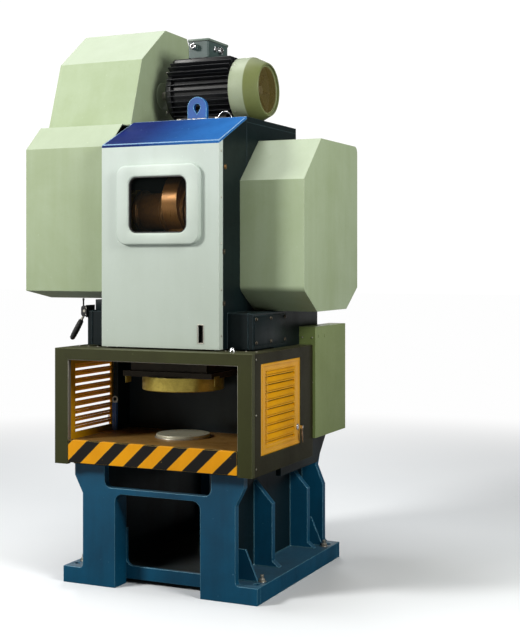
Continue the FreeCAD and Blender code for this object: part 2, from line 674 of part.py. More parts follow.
def bearings():
    """Flanged bearing rings in the head sides for the crankshaft and the drive shaft."""
    kinds = (("crank_bearings", "crank_back", "journal_radius", "bearing_flange",
              "bearing_sleeve", "head_half - bearing_skin"),
             ("shaft_bearings", "shaft_back", "shaft_radius", "shaft_flange",
              "shaft_sleeve", "head_half"))
    for label, back, journal, flange, sleeve, end in kinds:
        piece = Piece(label, at=("0", back, "crank_up"))
        bore = f"{journal} + run_gap"
        flange_in = "head_inner - bearing_inner"
        for side, _ in SIDES:
            profile = [(flange_in, bore), (end, bore), (end, sleeve),
                       ("head_inner", sleeve), ("head_inner", flange), (flange_in, flange)]
            piece.spin([(f"{side} * ({x})", r) for x, r in profile])


def crankshaft():
    """Crankshaft with two cheeks and the eccentric sheave that drives the rod."""
    piece = Piece("crankshaft", at=("0", "crank_back", "crank_up"))
    end = "head_half - bearing_skin - crank_end_gap"
    cheek_in = "rod_half + cheek_gap"
    for side, _ in SIDES:
        profile = [(cheek_in, "0"), (end, "0"), (end, "journal_radius - 4"),
                   (f"{end} - 4", "journal_radius"), ("cheek_out", "journal_radius"),
                   ("cheek_out", "cheek_radius"), (cheek_in, "cheek_radius")]
        piece.spin([(f"{side} * ({x})", r) for x, r in profile])
    piece.pad("YZ", minus(cheek_in), cheek_in,
              ("circle", "0", "throw_length", "sheave_radius"))


def connecting_rod():
    """Connecting rod: a split eye on the sheave and a tapered shank below it."""
    piece = Piece("connecting_rod", at=("0", "crank_back", "rod_up"))
    piece.pad("YZ", "-rod_half", "rod_half", ("circle", "0", "0", "rod_eye_radius"))
    piece.pad("YZ", "-rod_half", "rod_half",
              [("-rod_shank_top_half", "-sheave_radius"),
               ("rod_shank_top_half", "-sheave_radius"),
               ("rod_shank_half", "-rod_shank_end"), ("-rod_shank_half", "-rod_shank_end")])
    piece.cut("YZ", "-rod_half", "rod_half",
              ("circle", "0", "0", "sheave_radius + run_gap"))


def rod_screw():
    """Adjusting screw of the rod with its lock nut, and the ball that seats in the slide."""
    nut = doc.addObject("Part::Prism", "rod_screw_nut")
    nut.Polygon = 6
    nut.setExpression("Circumradius", formula("nut_radius"))
    nut.setExpression("Height", formula("nut_height"))
    nut.setExpression("Placement.Base.z", formula("rod_up - rod_shank_end - nut_height"))
    stem = doc.addObject("Part::Cylinder", "rod_screw_stem")
    stem.setExpression("Radius", formula("screw_radius"))
    stem.setExpression("Height", formula("rod_length - rod_shank_end"))
    stem.setExpression("Placement.Base.z", formula("rod_up - rod_length"))
    ball = doc.addObject("Part::Sphere", "rod_screw_ball")
    ball.setExpression("Radius", formula("ball_radius"))
    ball.setExpression("Placement.Base.z", formula("rod_up - rod_length"))
    joined = doc.addObject("Part::MultiFuse", "rod_screw")
    joined.Shapes = [nut, stem, ball]
    joined.setExpression("Placement.Base.y", formula("crank_back"))
    keep(joined, "rod_screw")


def involute_points(base, start, tip, steps):
    """Give points of a circle's involute between two radii, from its foot outwards."""
    points = []
    for step in range(steps + 1):
        radius = max(start, base) + (tip - max(start, base)) * step / steps
        roll = math.sqrt(max((radius / base) ** 2 - 1, 0))
        points.append((radius, roll - math.atan(roll)))
    return points


def gear_section(teeth, turn):
    """Give the toothed outline of a spur gear about the origin of the YZ plane, as a face."""
    module = number("gear_module")
    pitch = module * teeth / 2
    base = pitch * math.cos(math.radians(20))
    root, tip = pitch - 1.25 * module, pitch + module
    roll = math.tan(math.radians(20)) - math.radians(20)
    half_tooth = math.pi / (2 * teeth) - number("gear_backlash") / (2 * pitch) + roll
    flank = involute_points(base, root, tip, 5)

    def place(radius, angle):
        return FreeCAD.Vector(0, radius * math.cos(angle), radius * math.sin(angle))

    edges = []
    step = 2 * math.pi / teeth
    for tooth in range(teeth):
        middle = tooth * step + turn
        rising = [place(r, middle - half_tooth + a) for r, a in flank]
        falling = [place(r, middle + half_tooth - a) for r, a in reversed(flank)]
        foot_in, foot_out = middle - half_tooth, middle + half_tooth
        next_in = foot_in + step
        if root < base:
            edges.append(Part.LineSegment(place(root, foot_in), rising[0]).toShape())
        rise = Part.BSplineCurve()
        rise.interpolate(rising)
        edges.append(rise.toShape())
        edges.append(Part.Arc(rising[-1], place(tip, middle), falling[0]).toShape())
        fall = Part.BSplineCurve()
        fall.interpolate(falling)
        edges.append(fall.toShape())
        low_out, low_in = place(root, foot_out), place(root, next_in)
        if root < base:
            edges.append(Part.LineSegment(falling[-1], low_out).toShape())
        bottom = place(root, (foot_out + next_in) / 2)
        edges.append(Part.Arc(low_out, bottom, low_in).toShape())
    return Part.Face(Part.Wire(edges))


def gears():
    """Main gear on the crankshaft, and the drive shaft with its pinion cut in one piece."""
    width, web = number("gear_width"), number("gear_web")
    along = FreeCAD.Vector(1, 0, 0)
    inner = number("gear_inner")
    root = number("gear_module * (gear_teeth / 2 - 1.25)")
    wheel = gear_section(int(number("gear_teeth")), 0).extrude(along * width)
    hub, rim = number("gear_hub_radius"), root - number("plate_thick")
    recess = (width - web) / 2
    for start in (0, width - recess):
        place = along * start
        ring = Part.makeCylinder(rim, recess, place, along)
        wheel = wheel.cut(ring.cut(Part.makeCylinder(hub, recess, place, along)))
    bore = Part.makeCylinder(number("journal_radius"), width, FreeCAD.Vector(), along)
    gear = doc.addObject("Part::Feature", "main_gear")
    gear.Shape = wheel.cut(bore)
    gear.Placement.Base = FreeCAD.Vector(inner, number("crank_back"), number("crank_up"))
    keep(gear, "main_gear")

    extra = number("pinion_extra")
    teeth = int(number("pinion_teeth"))
    cogs = gear_section(teeth, math.pi / teeth).extrude(along * (width + extra))
    cogs.translate(along * (inner - extra / 2))
    left = number("-flywheel_inner - flywheel_width")
    right = number("drum_inner + drum_width")
    rod = Part.makeCylinder(number("shaft_radius"), right - left, along * left, along)
    shaft = doc.addObject("Part::Feature", "pinion_shaft")
    shaft.Shape = rod.fuse(cogs).removeSplitter()
    shaft.Placement.Base = FreeCAD.Vector(0, number("shaft_back"), number("crank_up"))
    keep(shaft, "pinion_shaft")


def slide():
    """Slide with its flanged foot, the pocket for the rod's ball and the shank bore."""
    piece = Piece("slide")
    piece.pad("XY", "slide_low", "slide_high",
              rectangle("-slide_half", "slide_front", "slide_half", "slide_back"))
    piece.pad("XY", "slide_low", "slide_low + slide_flange_thick",
              rectangle("-slide_flange_half", "crank_back - slide_flange_reach",
                        "slide_flange_half", "crank_back + slide_flange_reach"))
    piece.cut("XY", "slide_high - pocket_depth", "slide_high",
              rectangle("-pocket_half", "crank_back - pocket_half",
                        "pocket_half", "crank_back + pocket_half"))
    piece.cut("XY", "slide_low", "slide_low + shank_depth",
              ("circle", "0", "crank_back", "shank_bore"))
    ring = Piece("ram_ring", at=("0", "crank_back", "slide_low - ring_thick"))
    ring.spin([("shank_bore", "0"), ("ring_radius - ring_edge", "0"),
               ("ring_radius", "ring_edge"), ("ring_radius", "ring_thick"),
               ("shank_bore", "ring_thick")], axis="Z")


def slide_guides():
    """Gib channels fixed to the head sides, which guide the slide."""
    piece = Piece("slide_guides")
    for side, _ in SIDES:
        near = "slide_half + guide_gap"
        half = [("gib_inner", "slide_front - gib_lip"), ("head_inner", "slide_front - gib_lip"),
                ("head_inner", "slide_back + gib_lip"), ("gib_inner", "slide_back + gib_lip"),
                ("gib_inner", "slide_back + guide_gap"), (near, "slide_back + guide_gap"),
                (near, "slide_front - guide_gap"), ("gib_inner", "slide_front - guide_gap")]
        piece.pad("XY", "head_low", "slide_high", [(f"{side} * ({x})", y) for x, y in half])


# Flywheel, brake, belts and guards ------------------------------------------------------

def groove_places(middle):
    """Give the places along X of the belts that run side by side about a middle."""
    count = int(number("belt_count"))
    return [f"({middle}) + {index - (count - 1) / 2} * belt_pitch" for index in range(count)]


def grooved_wheel(piece, low, high, radius, inner, middle):
    """Spin a rim with one V groove for each belt, down to an inner radius."""
    profile = [(low, inner), (low, radius)]
    for place in groove_places(middle):
        foot = f"({radius}) - groove_deep"
        profile += [(f"{place} - groove_half", radius), (f"{place} - groove_foot_half", foot),
                    (f"{place} + groove_foot_half", foot), (f"{place} + groove_half", radius)]
    profile += [(high, radius), (high, inner)]
    return piece.spin(profile)


def flywheel():
    """Flywheel with a grooved rim, a web with lightening holes and a hub."""
    piece = Piece("flywheel", at=("0", "shaft_back", "crank_up"))
    low, high = "-belt_place - flywheel_width / 2", "-belt_place + flywheel_width / 2"
    web = rectangle("-belt_place - flywheel_web / 2", "flywheel_hub - 1",
                    "-belt_place + flywheel_web / 2", "flywheel_radius - flywheel_rim + 1")
    grooved_wheel(piece, low, high, "flywheel_radius", "flywheel_radius - flywheel_rim",
                  "-belt_place")
    piece.spin(web)
    piece.spin(ring_profile(low, high, "shaft_radius", "flywheel_hub"))
    hole = piece.cut("YZ", low, high,
                     ("circle", "flywheel_hole_circle", "0", "flywheel_hole"))
    piece.around(hole, "flywheel_holes")


def brake_drum():
    """Clutch and brake drum on the right end of the drive shaft."""
    piece = Piece("brake_drum", at=("0", "shaft_back", "crank_up"))
    end = "drum_inner + drum_width"
    piece.spin([("drum_inner", "shaft_radius"), (end, "shaft_radius"), (end, "drum_hub"),
                ("drum_inner + drum_web", "drum_hub"),
                ("drum_inner + drum_web", "drum_radius - drum_wall"),
                (end, "drum_radius - drum_wall"), (end, "drum_radius"),
                ("drum_inner", "drum_radius")])


def belt_path(small, large, rise, reach):
    """Give the closed path of an open belt drive in the YZ plane, about the large wheel."""
    centres = math.hypot(reach, rise)
    heading = math.atan2(rise, reach)
    spread = math.acos((large - small) / centres)
    lower = FreeCAD.Vector(0, 0, 0)
    upper = FreeCAD.Vector(0, reach, rise)

    def point(middle, radius, angle):
        return middle + FreeCAD.Vector(0, radius * math.cos(angle), radius * math.sin(angle))

    low = [point(lower, large, heading + turn) for turn in (spread, math.pi, -spread)]
    high = [point(upper, small, heading + turn) for turn in (-spread, 0, spread)]
    edges = [Part.Arc(low[0], low[1], low[2]).toShape(),
             Part.LineSegment(low[2], high[0]).toShape(),
             Part.Arc(high[0], high[1], high[2]).toShape(),
             Part.LineSegment(high[2], low[0]).toShape()]
    return Part.Wire(edges), low[0], heading + spread


def v_belts():
    """Four V-belts round the flywheel and the motor pulley."""
    large, small = number("flywheel_radius"), number("pulley_radius")
    reach = number("motor_back - shaft_back")
    rise = number("motor_up - crank_up")
    path, start, angle = belt_path(small, large, rise, reach)
    outward = FreeCAD.Vector(0, math.cos(angle), math.sin(angle))
    across = FreeCAD.Vector(1, 0, 0)
    half, foot = number("belt_half"), number("belt_foot_half")
    deep = outward * number("belt_deep")
    corners = [start - across * half, start + across * half,
               start + across * foot - deep, start - across * foot - deep]
    section = Part.makePolygon(corners + corners[:1])
    belt = path.makePipeShell([section], True, False, 2)
    belts = []
    for place in groove_places("-belt_place"):
        copy = belt.copy()
        copy.translate(across * number(place))
        belts.append(copy)
    item = doc.addObject("Part::Feature", "v_belts")
    item.Shape = Part.makeCompound(belts)
    item.Placement.Base = FreeCAD.Vector(0, number("shaft_back"), number("crank_up"))
    keep(item, "v_belts")


def wheel_guard():
    """Guard over the flywheel on the left, open towards the head, slotted for the belts."""
    piece = Piece("wheel_guard")
    low = "head_low + wheel_guard_low_rise"
    outline = [("wheel_guard_front", "head_low + wheel_guard_step_rise"),
               ("wheel_guard_front", "head_low + wheel_guard_brow_rise"),
               ("wheel_guard_brow_back", "wheel_guard_top"),
               ("wheel_guard_back", "wheel_guard_top"), ("wheel_guard_back", low),
               ("wheel_guard_step_back", low)]
    piece.pad("YZ", "-wheel_guard_left", "-head_half", outline)
    piece.hollow("guard_wall", "X", "-head_half")
    piece.cut("XY", "wheel_guard_top - guard_wall - 1", "wheel_guard_top",
              rectangle("-belt_slot_left", "belt_slot_front",
                        "-belt_slot_right", "belt_slot_back"))


def belt_guard():
    """Guard over the belts and the motor pulley, standing on the flywheel guard."""
    piece = Piece("belt_guard")
    outline = [("belt_guard_front", "wheel_guard_top"),
               ("belt_guard_knee", "wheel_guard_top + belt_guard_knee_rise"),
               ("belt_guard_peak", "wheel_guard_top + belt_guard_peak_rise"),
               ("belt_guard_top_back", "wheel_guard_top + belt_guard_peak_rise - 5"),
               ("belt_guard_back", "wheel_guard_top + belt_guard_back_rise"),
               ("belt_guard_back", "wheel_guard_top")]
    piece.pad("YZ", "-belt_guard_left", "-head_half", outline)
    piece.hollow("guard_wall", "Z", "wheel_guard_top")
    piece.cut("YZ", "-head_half - guard_wall - 1", "-head_half",
              ("circle", "motor_back", "motor_up", "pulley_hub"))


def drum_guard():
    """Guard over the clutch and brake drum on the right, open towards the head."""
    piece = Piece("drum_guard")
    low = "shoulder_top + drum_guard_lift"
    front = "head_low + drum_guard_front_rise"
    brow = "head_low + drum_guard_brow_rise"
    top = "head_low + drum_guard_top_rise"
    outline = [("drum_guard_front", front), ("drum_guard_front", brow),
               ("drum_guard_brow_back", top), ("drum_guard_back", top),
               ("drum_guard_back", front), ("drum_guard_low_back", low),
               ("drum_guard_low_front", low)]
    piece.pad("YZ", "head_half", "drum_guard_right", outline)
    piece.round_edges("YZ", "drum_guard_round", [("drum_guard_back", top),
                                                 ("drum_guard_front", front)])
    piece.hollow("guard_wall", "X", "head_half")


# Enclosure round the die space ----------------------------------------------------------

def enclosure_front():
    """Front frame of the enclosure, a folded pan open at the bottom for the hazard bar."""
    piece = Piece("enclosure_front")
    inner_top = "box_top - box_top_rail"
    half = [("box_half", "box_top"), ("box_half", "box_low"),
            ("box_opening_half", "box_low"), ("box_opening_half", inner_top)]
    outline = [(minus(x), z) for x, z in reversed(half)]
    piece.pad("XZ", "box_front", "box_pan_back", half + outline)
    skin_half = [("box_half - box_skin", "box_top - box_skin"),
                 ("box_half - box_skin", "box_low + box_skin"),
                 ("box_opening_half + box_skin", "box_low + box_skin"),
                 ("box_opening_half + box_skin", f"{inner_top} + box_skin")]
    inner = skin_half + [(minus(x), z) for x, z in reversed(skin_half)]
    piece.cut("XZ", "box_front + box_skin", "box_pan_back", inner)


def enclosure_sides():
    """Side panels of the enclosure, each with a doorway and two hinge pin holes."""
    for side, name in SIDES:
        piece = Piece(f"enclosure_side_{name}")
        low, high = span(side, "box_inner", "box_half")
        piece.pad("YZ", low, high,
                  rectangle("box_pan_back", "box_low", "box_back", "box_top"))
        piece.cut("YZ", low, high,
                  rectangle("door_front - door_gap", "door_low - door_gap",
                            "door_back + door_gap", "door_high + door_gap"))
        hole = ("circle", f"{side} * door_mid", "hinge_place", "hinge_pin + run_gap")
        reach = "(door_gap + hinge_pin_long)"
        piece.cut("XY", f"door_low - {reach}", "door_low - door_gap", hole)
        piece.cut("XY", "door_high + door_gap", f"door_high + {reach}", hole)


def enclosure_top():
    """Top panel of the enclosure, open behind for the head and the slide."""
    piece = Piece("enclosure_top")
    front_strip = "frame_front - guide_gap"
    half = [("box_inner", "box_pan_back"), ("box_inner", "box_back"),
            ("frame_half", "box_back"), ("frame_half", front_strip)]
    outline = half + [(minus(x), y) for x, y in reversed(half)]
    piece.pad("XY", "box_top - box_top_thick", "box_top", outline)
    piece.cut("XY", "box_top - box_top_thick", "box_top",
              rectangle("-slide_flange_half - 20", "slide_front - 45",
                        "slide_flange_half + 20", f"{front_strip} + 1"))


def hazard_bar():
    """Bar across the front of the bed under the enclosure's opening."""
    piece = Piece("hazard_bar")
    piece.pad("XZ", "bolster_front - hazard_thick", "bolster_front",
              rectangle("-hazard_half", "box_low + hazard_low",
                        "hazard_half", "box_low + hazard_low + hazard_height"))


def side_doors():
    """Louvred doors on hinge pins, each with a quarter-turn lock at its free edge."""
    louvre_low = "door_low + louvre_low"
    louvre_high = "door_high - louvre_high"
    pitch = f"(({louvre_high}) - ({louvre_low})) / louvre_count"
    front, back = "door_front + louvre_front", "door_back - louvre_back"
    for side, name in SIDES:
        door = Piece(f"side_door_{name}")
        half = "door_thick / 2"
        low, high = span(side, f"door_mid - {half}", f"door_mid + {half}")
        middle = f"{side} * door_mid"
        door.pad("XY", "door_low", "door_high",
                 rectangle(low, "hinge_place", high, "door_back"))
        door.pad("XY", "door_low", "door_high", ("circle", middle, "hinge_place", half))
        pins = ("circle", middle, "hinge_place", "hinge_pin")
        door.pad("XY", "door_low - door_gap - hinge_pin_long", "door_low", pins)
        door.pad("XY", "door_high", "door_high + door_gap + hinge_pin_long", pins)
        door.cut("YZ", low, high, rectangle(front, louvre_low, back, louvre_high))
        inner = f"{side} * (door_mid - {half})"
        outer = f"{side} * (door_mid + {half})"
        base = f"{louvre_low} + ({pitch}) / 3"
        blade = door.pad("XZ", f"{front} - 1", f"{back} + 1",
                         [(inner, f"{base} + louvre_drop"), (outer, base),
                          (outer, f"{base} + louvre_blade"),
                          (inner, f"{base} + louvre_drop + louvre_blade")])
        door.along(blade, f"({pitch}) * (louvre_count - 1)", "louvre_count")
        door.cut("YZ", low, high, ("circle", "lock_back", "lock_up", "lock_radius + run_gap"))

        lock = Piece(f"door_lock_{name}", at=(middle, "lock_back", "lock_up"))
        run = "guide_gap"

        def stretch(start, end):
            return span(side, start, end)

        lock.pad("YZ", *stretch(f"-{half} - {run}", f"{half} + {run}"),
                 ("circle", "0", "0", "lock_radius"))
        flange_out = f"{half} + {run} + lock_flange_thick"
        lock.pad("YZ", *stretch(f"{half} + {run}", flange_out),
                 ("circle", "0", "0", "lock_flange"))
        lock.pad("YZ", *stretch(f"-{half} - {run} - cam_thick", f"-{half} - {run}"),
                 rectangle("-cam_wide / 2", "-cam_wide / 2", "cam_wide / 2", "cam_long"))
        lock.pad("YZ", *stretch(flange_out, f"{flange_out} + key_long"),
                 rectangle("-key_thick / 2", "-key_wide / 2", "key_thick / 2", "key_wide / 2"))


# Side cabinet, hand lever and safety block ----------------------------------------------

def side_cabinet():
    """Cabinet hung on the right frame plate, open towards the plate, with two air slots."""
    piece = Piece("side_cabinet")
    low = "base_height + cabinet_low_rise"
    high = f"{low} + cabinet_height"
    piece.pad("YZ", "frame_half", "cabinet_outer",
              rectangle("cabinet_front", low, "cabinet_back", high))
    piece.hollow("guard_wall", "X", "frame_half")
    wide, tall = "cabinet_slot_wide", "cabinet_slot_high"
    for place in ("cabinet_front + 40", "cabinet_front + 130"):
        top = f"{high} - 45"
        piece.cut("YZ", "cabinet_outer - guard_wall - 1", "cabinet_outer",
                  rectangle(place, f"{top} - {tall}", f"{place} + {wide}", top))


def hand_lever():
    """Hand lever hung in a clevis on the left shoulder."""
    clevis = Piece("lever_clevis")
    near = "-frame_half"
    far = "-frame_half - clevis_reach"
    low, high = "lever_up - clevis_height / 2", "lever_up + clevis_height / 2"
    gap = "clevis_gap / 2"
    outer = f"{gap} + clevis_cheek"
    clevis.pad("XZ", f"lever_back - ({outer})", f"lever_back + ({outer})",
               rectangle(far, low, near, high))
    clevis.cut("XZ", f"lever_back - {gap}", f"lever_back + {gap}",
               rectangle(f"{far} - 1", f"{low} - 1", f"{near} - clevis_web", f"{high} + 1"))
    clevis.cut("XZ", f"lever_back - ({outer})", f"lever_back + ({outer})",
               ("circle", "-lever_side", "lever_up", "lever_pin + run_gap"))
    clevis.round_edges("XZ", "clevis_height / 4", [(far, low), (far, high)])

    turned = FreeCAD.Rotation(FreeCAD.Vector(0, 1, 0), number("lever_lean"))
    along_pin = FreeCAD.Rotation(FreeCAD.Vector(1, 0, 0), 90)
    pin = doc.addObject("Part::Cylinder", "hand_lever_pin")
    pin.setExpression("Radius", formula("lever_pin"))
    pin.setExpression("Height", formula(f"2 * ({outer})"))
    pin.Placement.Rotation = along_pin
    pin.setExpression("Placement.Base.y", formula(outer))
    boss = doc.addObject("Part::Cylinder", "hand_lever_boss")
    boss.setExpression("Radius", formula("lever_boss"))
    boss.setExpression("Height", formula("clevis_gap - 2 * guide_gap"))
    boss.Placement.Rotation = along_pin
    boss.setExpression("Placement.Base.y", formula(f"{gap} - guide_gap"))
    neck = doc.addObject("Part::Cylinder", "hand_lever_neck")
    neck.setExpression("Radius", formula("lever_neck_radius"))
    neck.setExpression("Height", formula("lever_arm + 4"))
    neck.setExpression("Placement.Base.z", formula("-lever_arm - 4"))
    grip = doc.addObject("Part::Cylinder", "hand_lever_grip")
    grip.setExpression("Radius", formula("lever_grip_radius"))
    grip.setExpression("Height", formula("lever_grip_long"))
    grip.setExpression("Placement.Base.z", formula("-lever_arm - lever_grip_long"))
    joined = doc.addObject("Part::MultiFuse", "hand_lever")
    joined.Shapes = [pin, boss, neck, grip]
    joined.Placement.Rotation = turned
    for axis, text in zip("xyz", ("-lever_side", "lever_back", "lever_up")):
        joined.setExpression(f"Placement.Base.{axis}", formula(text))
    keep(joined, "hand_lever")


def safety_block():
    """Safety block with a lifting ring, kept standing on the bolster by the left frame."""
    left = "-bolster_half"
    back = "throat_depth - block_gap"
    bar = doc.addObject("Part::Box", "safety_block_bar")
    bar.setExpression("Length", formula("block_wide"))
    bar.setExpression("Width", formula("block_deep"))
    bar.setExpression("Height", formula("block_height"))
    bar.setExpression("Placement.Base.x", formula(left))
    bar.setExpression("Placement.Base.y", formula(f"{back} - block_deep"))
    bar.setExpression("Placement.Base.z", formula("bed_top"))
    ring = doc.addObject("Part::Torus", "safety_block_ring")
    ring.setExpression("Radius1", formula("block_ring"))
    ring.setExpression("Radius2", formula("block_ring_wire"))
    ring.Placement.Rotation = FreeCAD.Rotation(FreeCAD.Vector(1, 0, 0), 90)
    ring.setExpression("Placement.Base.x", formula(f"{left} + block_wide / 2"))
    ring.setExpression("Placement.Base.y", formula(f"{back} - block_deep / 2"))
    ring.setExpression("Placement.Base.z", formula("bed_top + block_height + block_ring"))
    joined = doc.addObject("Part::Fuse", "safety_block")
    joined.Base = bar
    joined.Tool = ring
    keep(joined, "safety_block")


# Motor ----------------------------------------------------------------------------------

def motor_housing():
    """Motor housing with end shields, cooling fins, feet and the terminal box boss."""
    piece = Piece("motor_housing", at=("0", "motor_back", "motor_up"))
    left, right = "motor_left", "motor_right"
    bore = "motor_bore + run_gap"
    inside = "motor_barrel - motor_wall"
    edge = "motor_barrel - 20"
    piece.spin([(left, bore), (left, edge), (f"{left} + 20", "motor_barrel"),
                (f"{right} - 20", "motor_barrel"), (right, edge), (right, bore),
                (f"{right} - motor_shield", bore), (f"{right} - motor_shield", inside),
                (f"{left} + motor_shield", inside), (f"{left} + motor_shield", bore)])
    fin = piece.pad("YZ", f"{left} + fin_margin", "cowl_left",
                    rectangle("-fin_thick / 2", "motor_barrel - 2",
                              "fin_thick / 2", "motor_barrel + fin_reach"))
    piece.around(fin, "motor_fins")
    start, end = f"{left} + foot_margin", f"{right} - foot_margin - 20"
    floor = "-motor_shaft_height"
    for side in (-1, 1):
        low, high = span(side, "foot_inner", "foot_outer")
        piece.pad("YZ", start, end, rectangle(low, floor, high, f"{floor} + foot_thick"))
        low, high = span(side, "foot_inner", "foot_inner + foot_web")
        piece.pad("YZ", start, end,
                  rectangle(low, f"{floor} + foot_thick - 1", high, "-motor_barrel / 2"))
    piece.pad("XY", "boss_low", "boss_rise",
              rectangle("boss_left", "-box_half_deep", "boss_right", "box_half_deep"))
    piece.cut("YZ", f"{left} + motor_shield", f"{right} - motor_shield",
              ("circle", "0", "0", inside))


def motor_ends():
    """Fan cowl and terminal box of the motor."""
    cowl = Piece("fan_cowl", at=("0", "motor_back", "motor_up"))
    inner = "cowl_radius - cowl_skin"
    rim = "cowl_end_radius - cowl_rim"
    front, back = "cowl_right - grille_inset", "cowl_right - grille_inset - cowl_skin"
    slope = "cowl_end_radius - cowl_skin + (grille_inset + cowl_skin) * cowl_fall"
    cowl.spin([("cowl_left", inner), ("cowl_left", "cowl_radius"),
               ("cowl_step", "cowl_radius"), ("cowl_right", "cowl_end_radius"),
               ("cowl_right", rim), (front, rim), (front, "0"), (back, "0"),
               (back, slope), ("cowl_step", inner)])
    slot = cowl.cut("YZ", f"{back} - 1", f"{front} + 1",
                    rectangle("-grille_slot_wide / 2", "grille_slot_low",
                              "grille_slot_wide / 2", "grille_slot_high"))
    cowl.around(slot, "cowl_slots")
    box = Piece("terminal_box", at=("0", "motor_back", "motor_up + boss_rise"))
    outline = rectangle("box_left", "-box_half_deep", "box_right", "box_half_deep")
    box.pad("XY", "0", "box_high", outline)
    box.round_edges("XY", "box_round", outline)
    box.hollow("guard_wall", "Z", "0")
    box.pad("XZ", "-box_half_deep - gland_long", "-box_half_deep",
            ("circle", "gland_place", "box_high - gland_drop", "gland_radius"))


def motor_inside():
    """Rotor with its shaft, the fan and the belt pulley."""
    at = ("0", "motor_back", "motor_up")
    rotor = Piece("motor_rotor", at=at)
    low = "-belt_place - flywheel_width / 2"
    rotor.spin([(low, "0"), ("fan_left + rotor_tail", "0"),
                ("fan_left + rotor_tail", "motor_bore"), ("rotor_right", "motor_bore"),
                ("rotor_right", "rotor_radius"), ("rotor_left", "rotor_radius"),
                ("rotor_left", "motor_bore"), (low, "motor_bore")])
    fan = Piece("motor_fan", at=at)
    end = "fan_left + fan_width"
    fan.spin(ring_profile("fan_left", end, "motor_bore", "fan_hub"))
    blade = fan.pad("YZ", "fan_left", end,
                    rectangle("-fan_blade_thick / 2", "fan_hub - 2",
                              "fan_blade_thick / 2", "fan_reach"))
    fan.around(blade, "fan_blades")
    pulley = Piece("motor_pulley", at=at)
    low, high = "-belt_place - flywheel_width / 2", "-belt_place + flywheel_width / 2"
    grooved_wheel(pulley, low, high, "pulley_radius", "motor_bore", "-belt_place")


def build():
    """Make every sub-part in turn."""
    for make in (base_front_plate, base_rear_plate, base_side_walls, foot_rails, base_ribs,
                 corner_gussets, base_inner_plates, bed, c_frames, throat_plate,
                 shoulder_plates, head_sides, head_plates, lifting_lug, front_cover,
                 window_parts, bearings, crankshaft, connecting_rod, rod_screw, gears, slide,
                 slide_guides, flywheel, brake_drum, v_belts, wheel_guard, belt_guard,
                 drum_guard, enclosure_front, enclosure_sides, enclosure_top, hazard_bar,
                 side_doors, side_cabinet, hand_lever, safety_block, motor_housing,
                 motor_ends, motor_inside):
        make()
    doc.recompute()


def write():
    """Check every object and shape, then write one STEP file for each sub-part."""
    for item in doc.Objects:
        if "Invalid" in item.State or "Error" in item.State:
            raise RuntimeError(f"{item.Name} failed to build: {item.State}")
    for item in sub_parts:
        if item.Shape.isNull() or not item.Shape.isValid():
            raise RuntimeError(f"{item.Label} has no valid shape")
    os.makedirs("parts", exist_ok=True)
    for item in sub_parts:
        item.Shape.exportStep(f"parts/{item.Label}.step")
    print(len(sub_parts), "sub-parts written")


size_names = {name for name, _ in SIZES}
place_names = {name for name, _ in PLACES}
sheet = make_sheets()
build()
write()
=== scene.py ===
import json
import logging
import math
from dataclasses import dataclass
from enum import Enum
from typing import ClassVar

import bmesh
import bpy
from mathutils import Matrix, Vector


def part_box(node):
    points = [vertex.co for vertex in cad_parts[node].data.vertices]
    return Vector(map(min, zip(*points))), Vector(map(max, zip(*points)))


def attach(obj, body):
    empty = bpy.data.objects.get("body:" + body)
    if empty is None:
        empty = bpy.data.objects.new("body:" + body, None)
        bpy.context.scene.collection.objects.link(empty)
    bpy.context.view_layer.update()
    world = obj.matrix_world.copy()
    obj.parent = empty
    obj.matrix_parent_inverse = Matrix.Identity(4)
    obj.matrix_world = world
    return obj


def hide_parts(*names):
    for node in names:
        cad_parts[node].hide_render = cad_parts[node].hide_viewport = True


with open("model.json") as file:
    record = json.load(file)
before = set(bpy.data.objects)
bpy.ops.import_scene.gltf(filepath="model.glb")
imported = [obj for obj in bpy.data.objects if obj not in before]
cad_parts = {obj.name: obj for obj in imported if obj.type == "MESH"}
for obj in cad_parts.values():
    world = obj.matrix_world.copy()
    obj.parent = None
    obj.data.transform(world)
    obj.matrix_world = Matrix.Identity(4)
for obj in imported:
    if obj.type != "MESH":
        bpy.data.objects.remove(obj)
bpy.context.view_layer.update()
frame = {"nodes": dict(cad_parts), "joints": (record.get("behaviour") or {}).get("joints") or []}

# Looks of a mechanical stamping press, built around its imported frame.
# Lengths are metres in the press's own frame: +X is the operator's right, +Y runs to the
# back and +Z is up. Every piece takes its place from the boxes of the frame's nodes.

NODES = frame["nodes"]
Colour = tuple[float, float, float, float]
log = logging.getLogger("press")


class Way(Enum):
    """The directions that a piece's own +Z can be turned to."""

    UP = (0, 0, 1)
    DOWN = (0, 0, -1)
    RIGHT = (1, 0, 0)
    LEFT = (-1, 0, 0)
    FRONT = (0, -1, 0)
    BACK = (0, 1, 0)


def tone(red: int, green: int, blue: int) -> Colour:
    """Turn a display colour into the linear colour that a shader takes.

    Args:
        red: Red, 0 to 255.
        green: Green, 0 to 255.
        blue: Blue, 0 to 255.

    Returns:
        The linear colour with an alpha of one.
    """
    def channel(level: int) -> float:
        """Undo the display curve for one channel."""
        share = level / 255
        return share / 12.92 if share <= 0.04045 else ((share + 0.055) / 1.055) ** 2.4

    return (channel(red), channel(green), channel(blue), 1.0)


# Shader building ------------------------------------------------------------------------

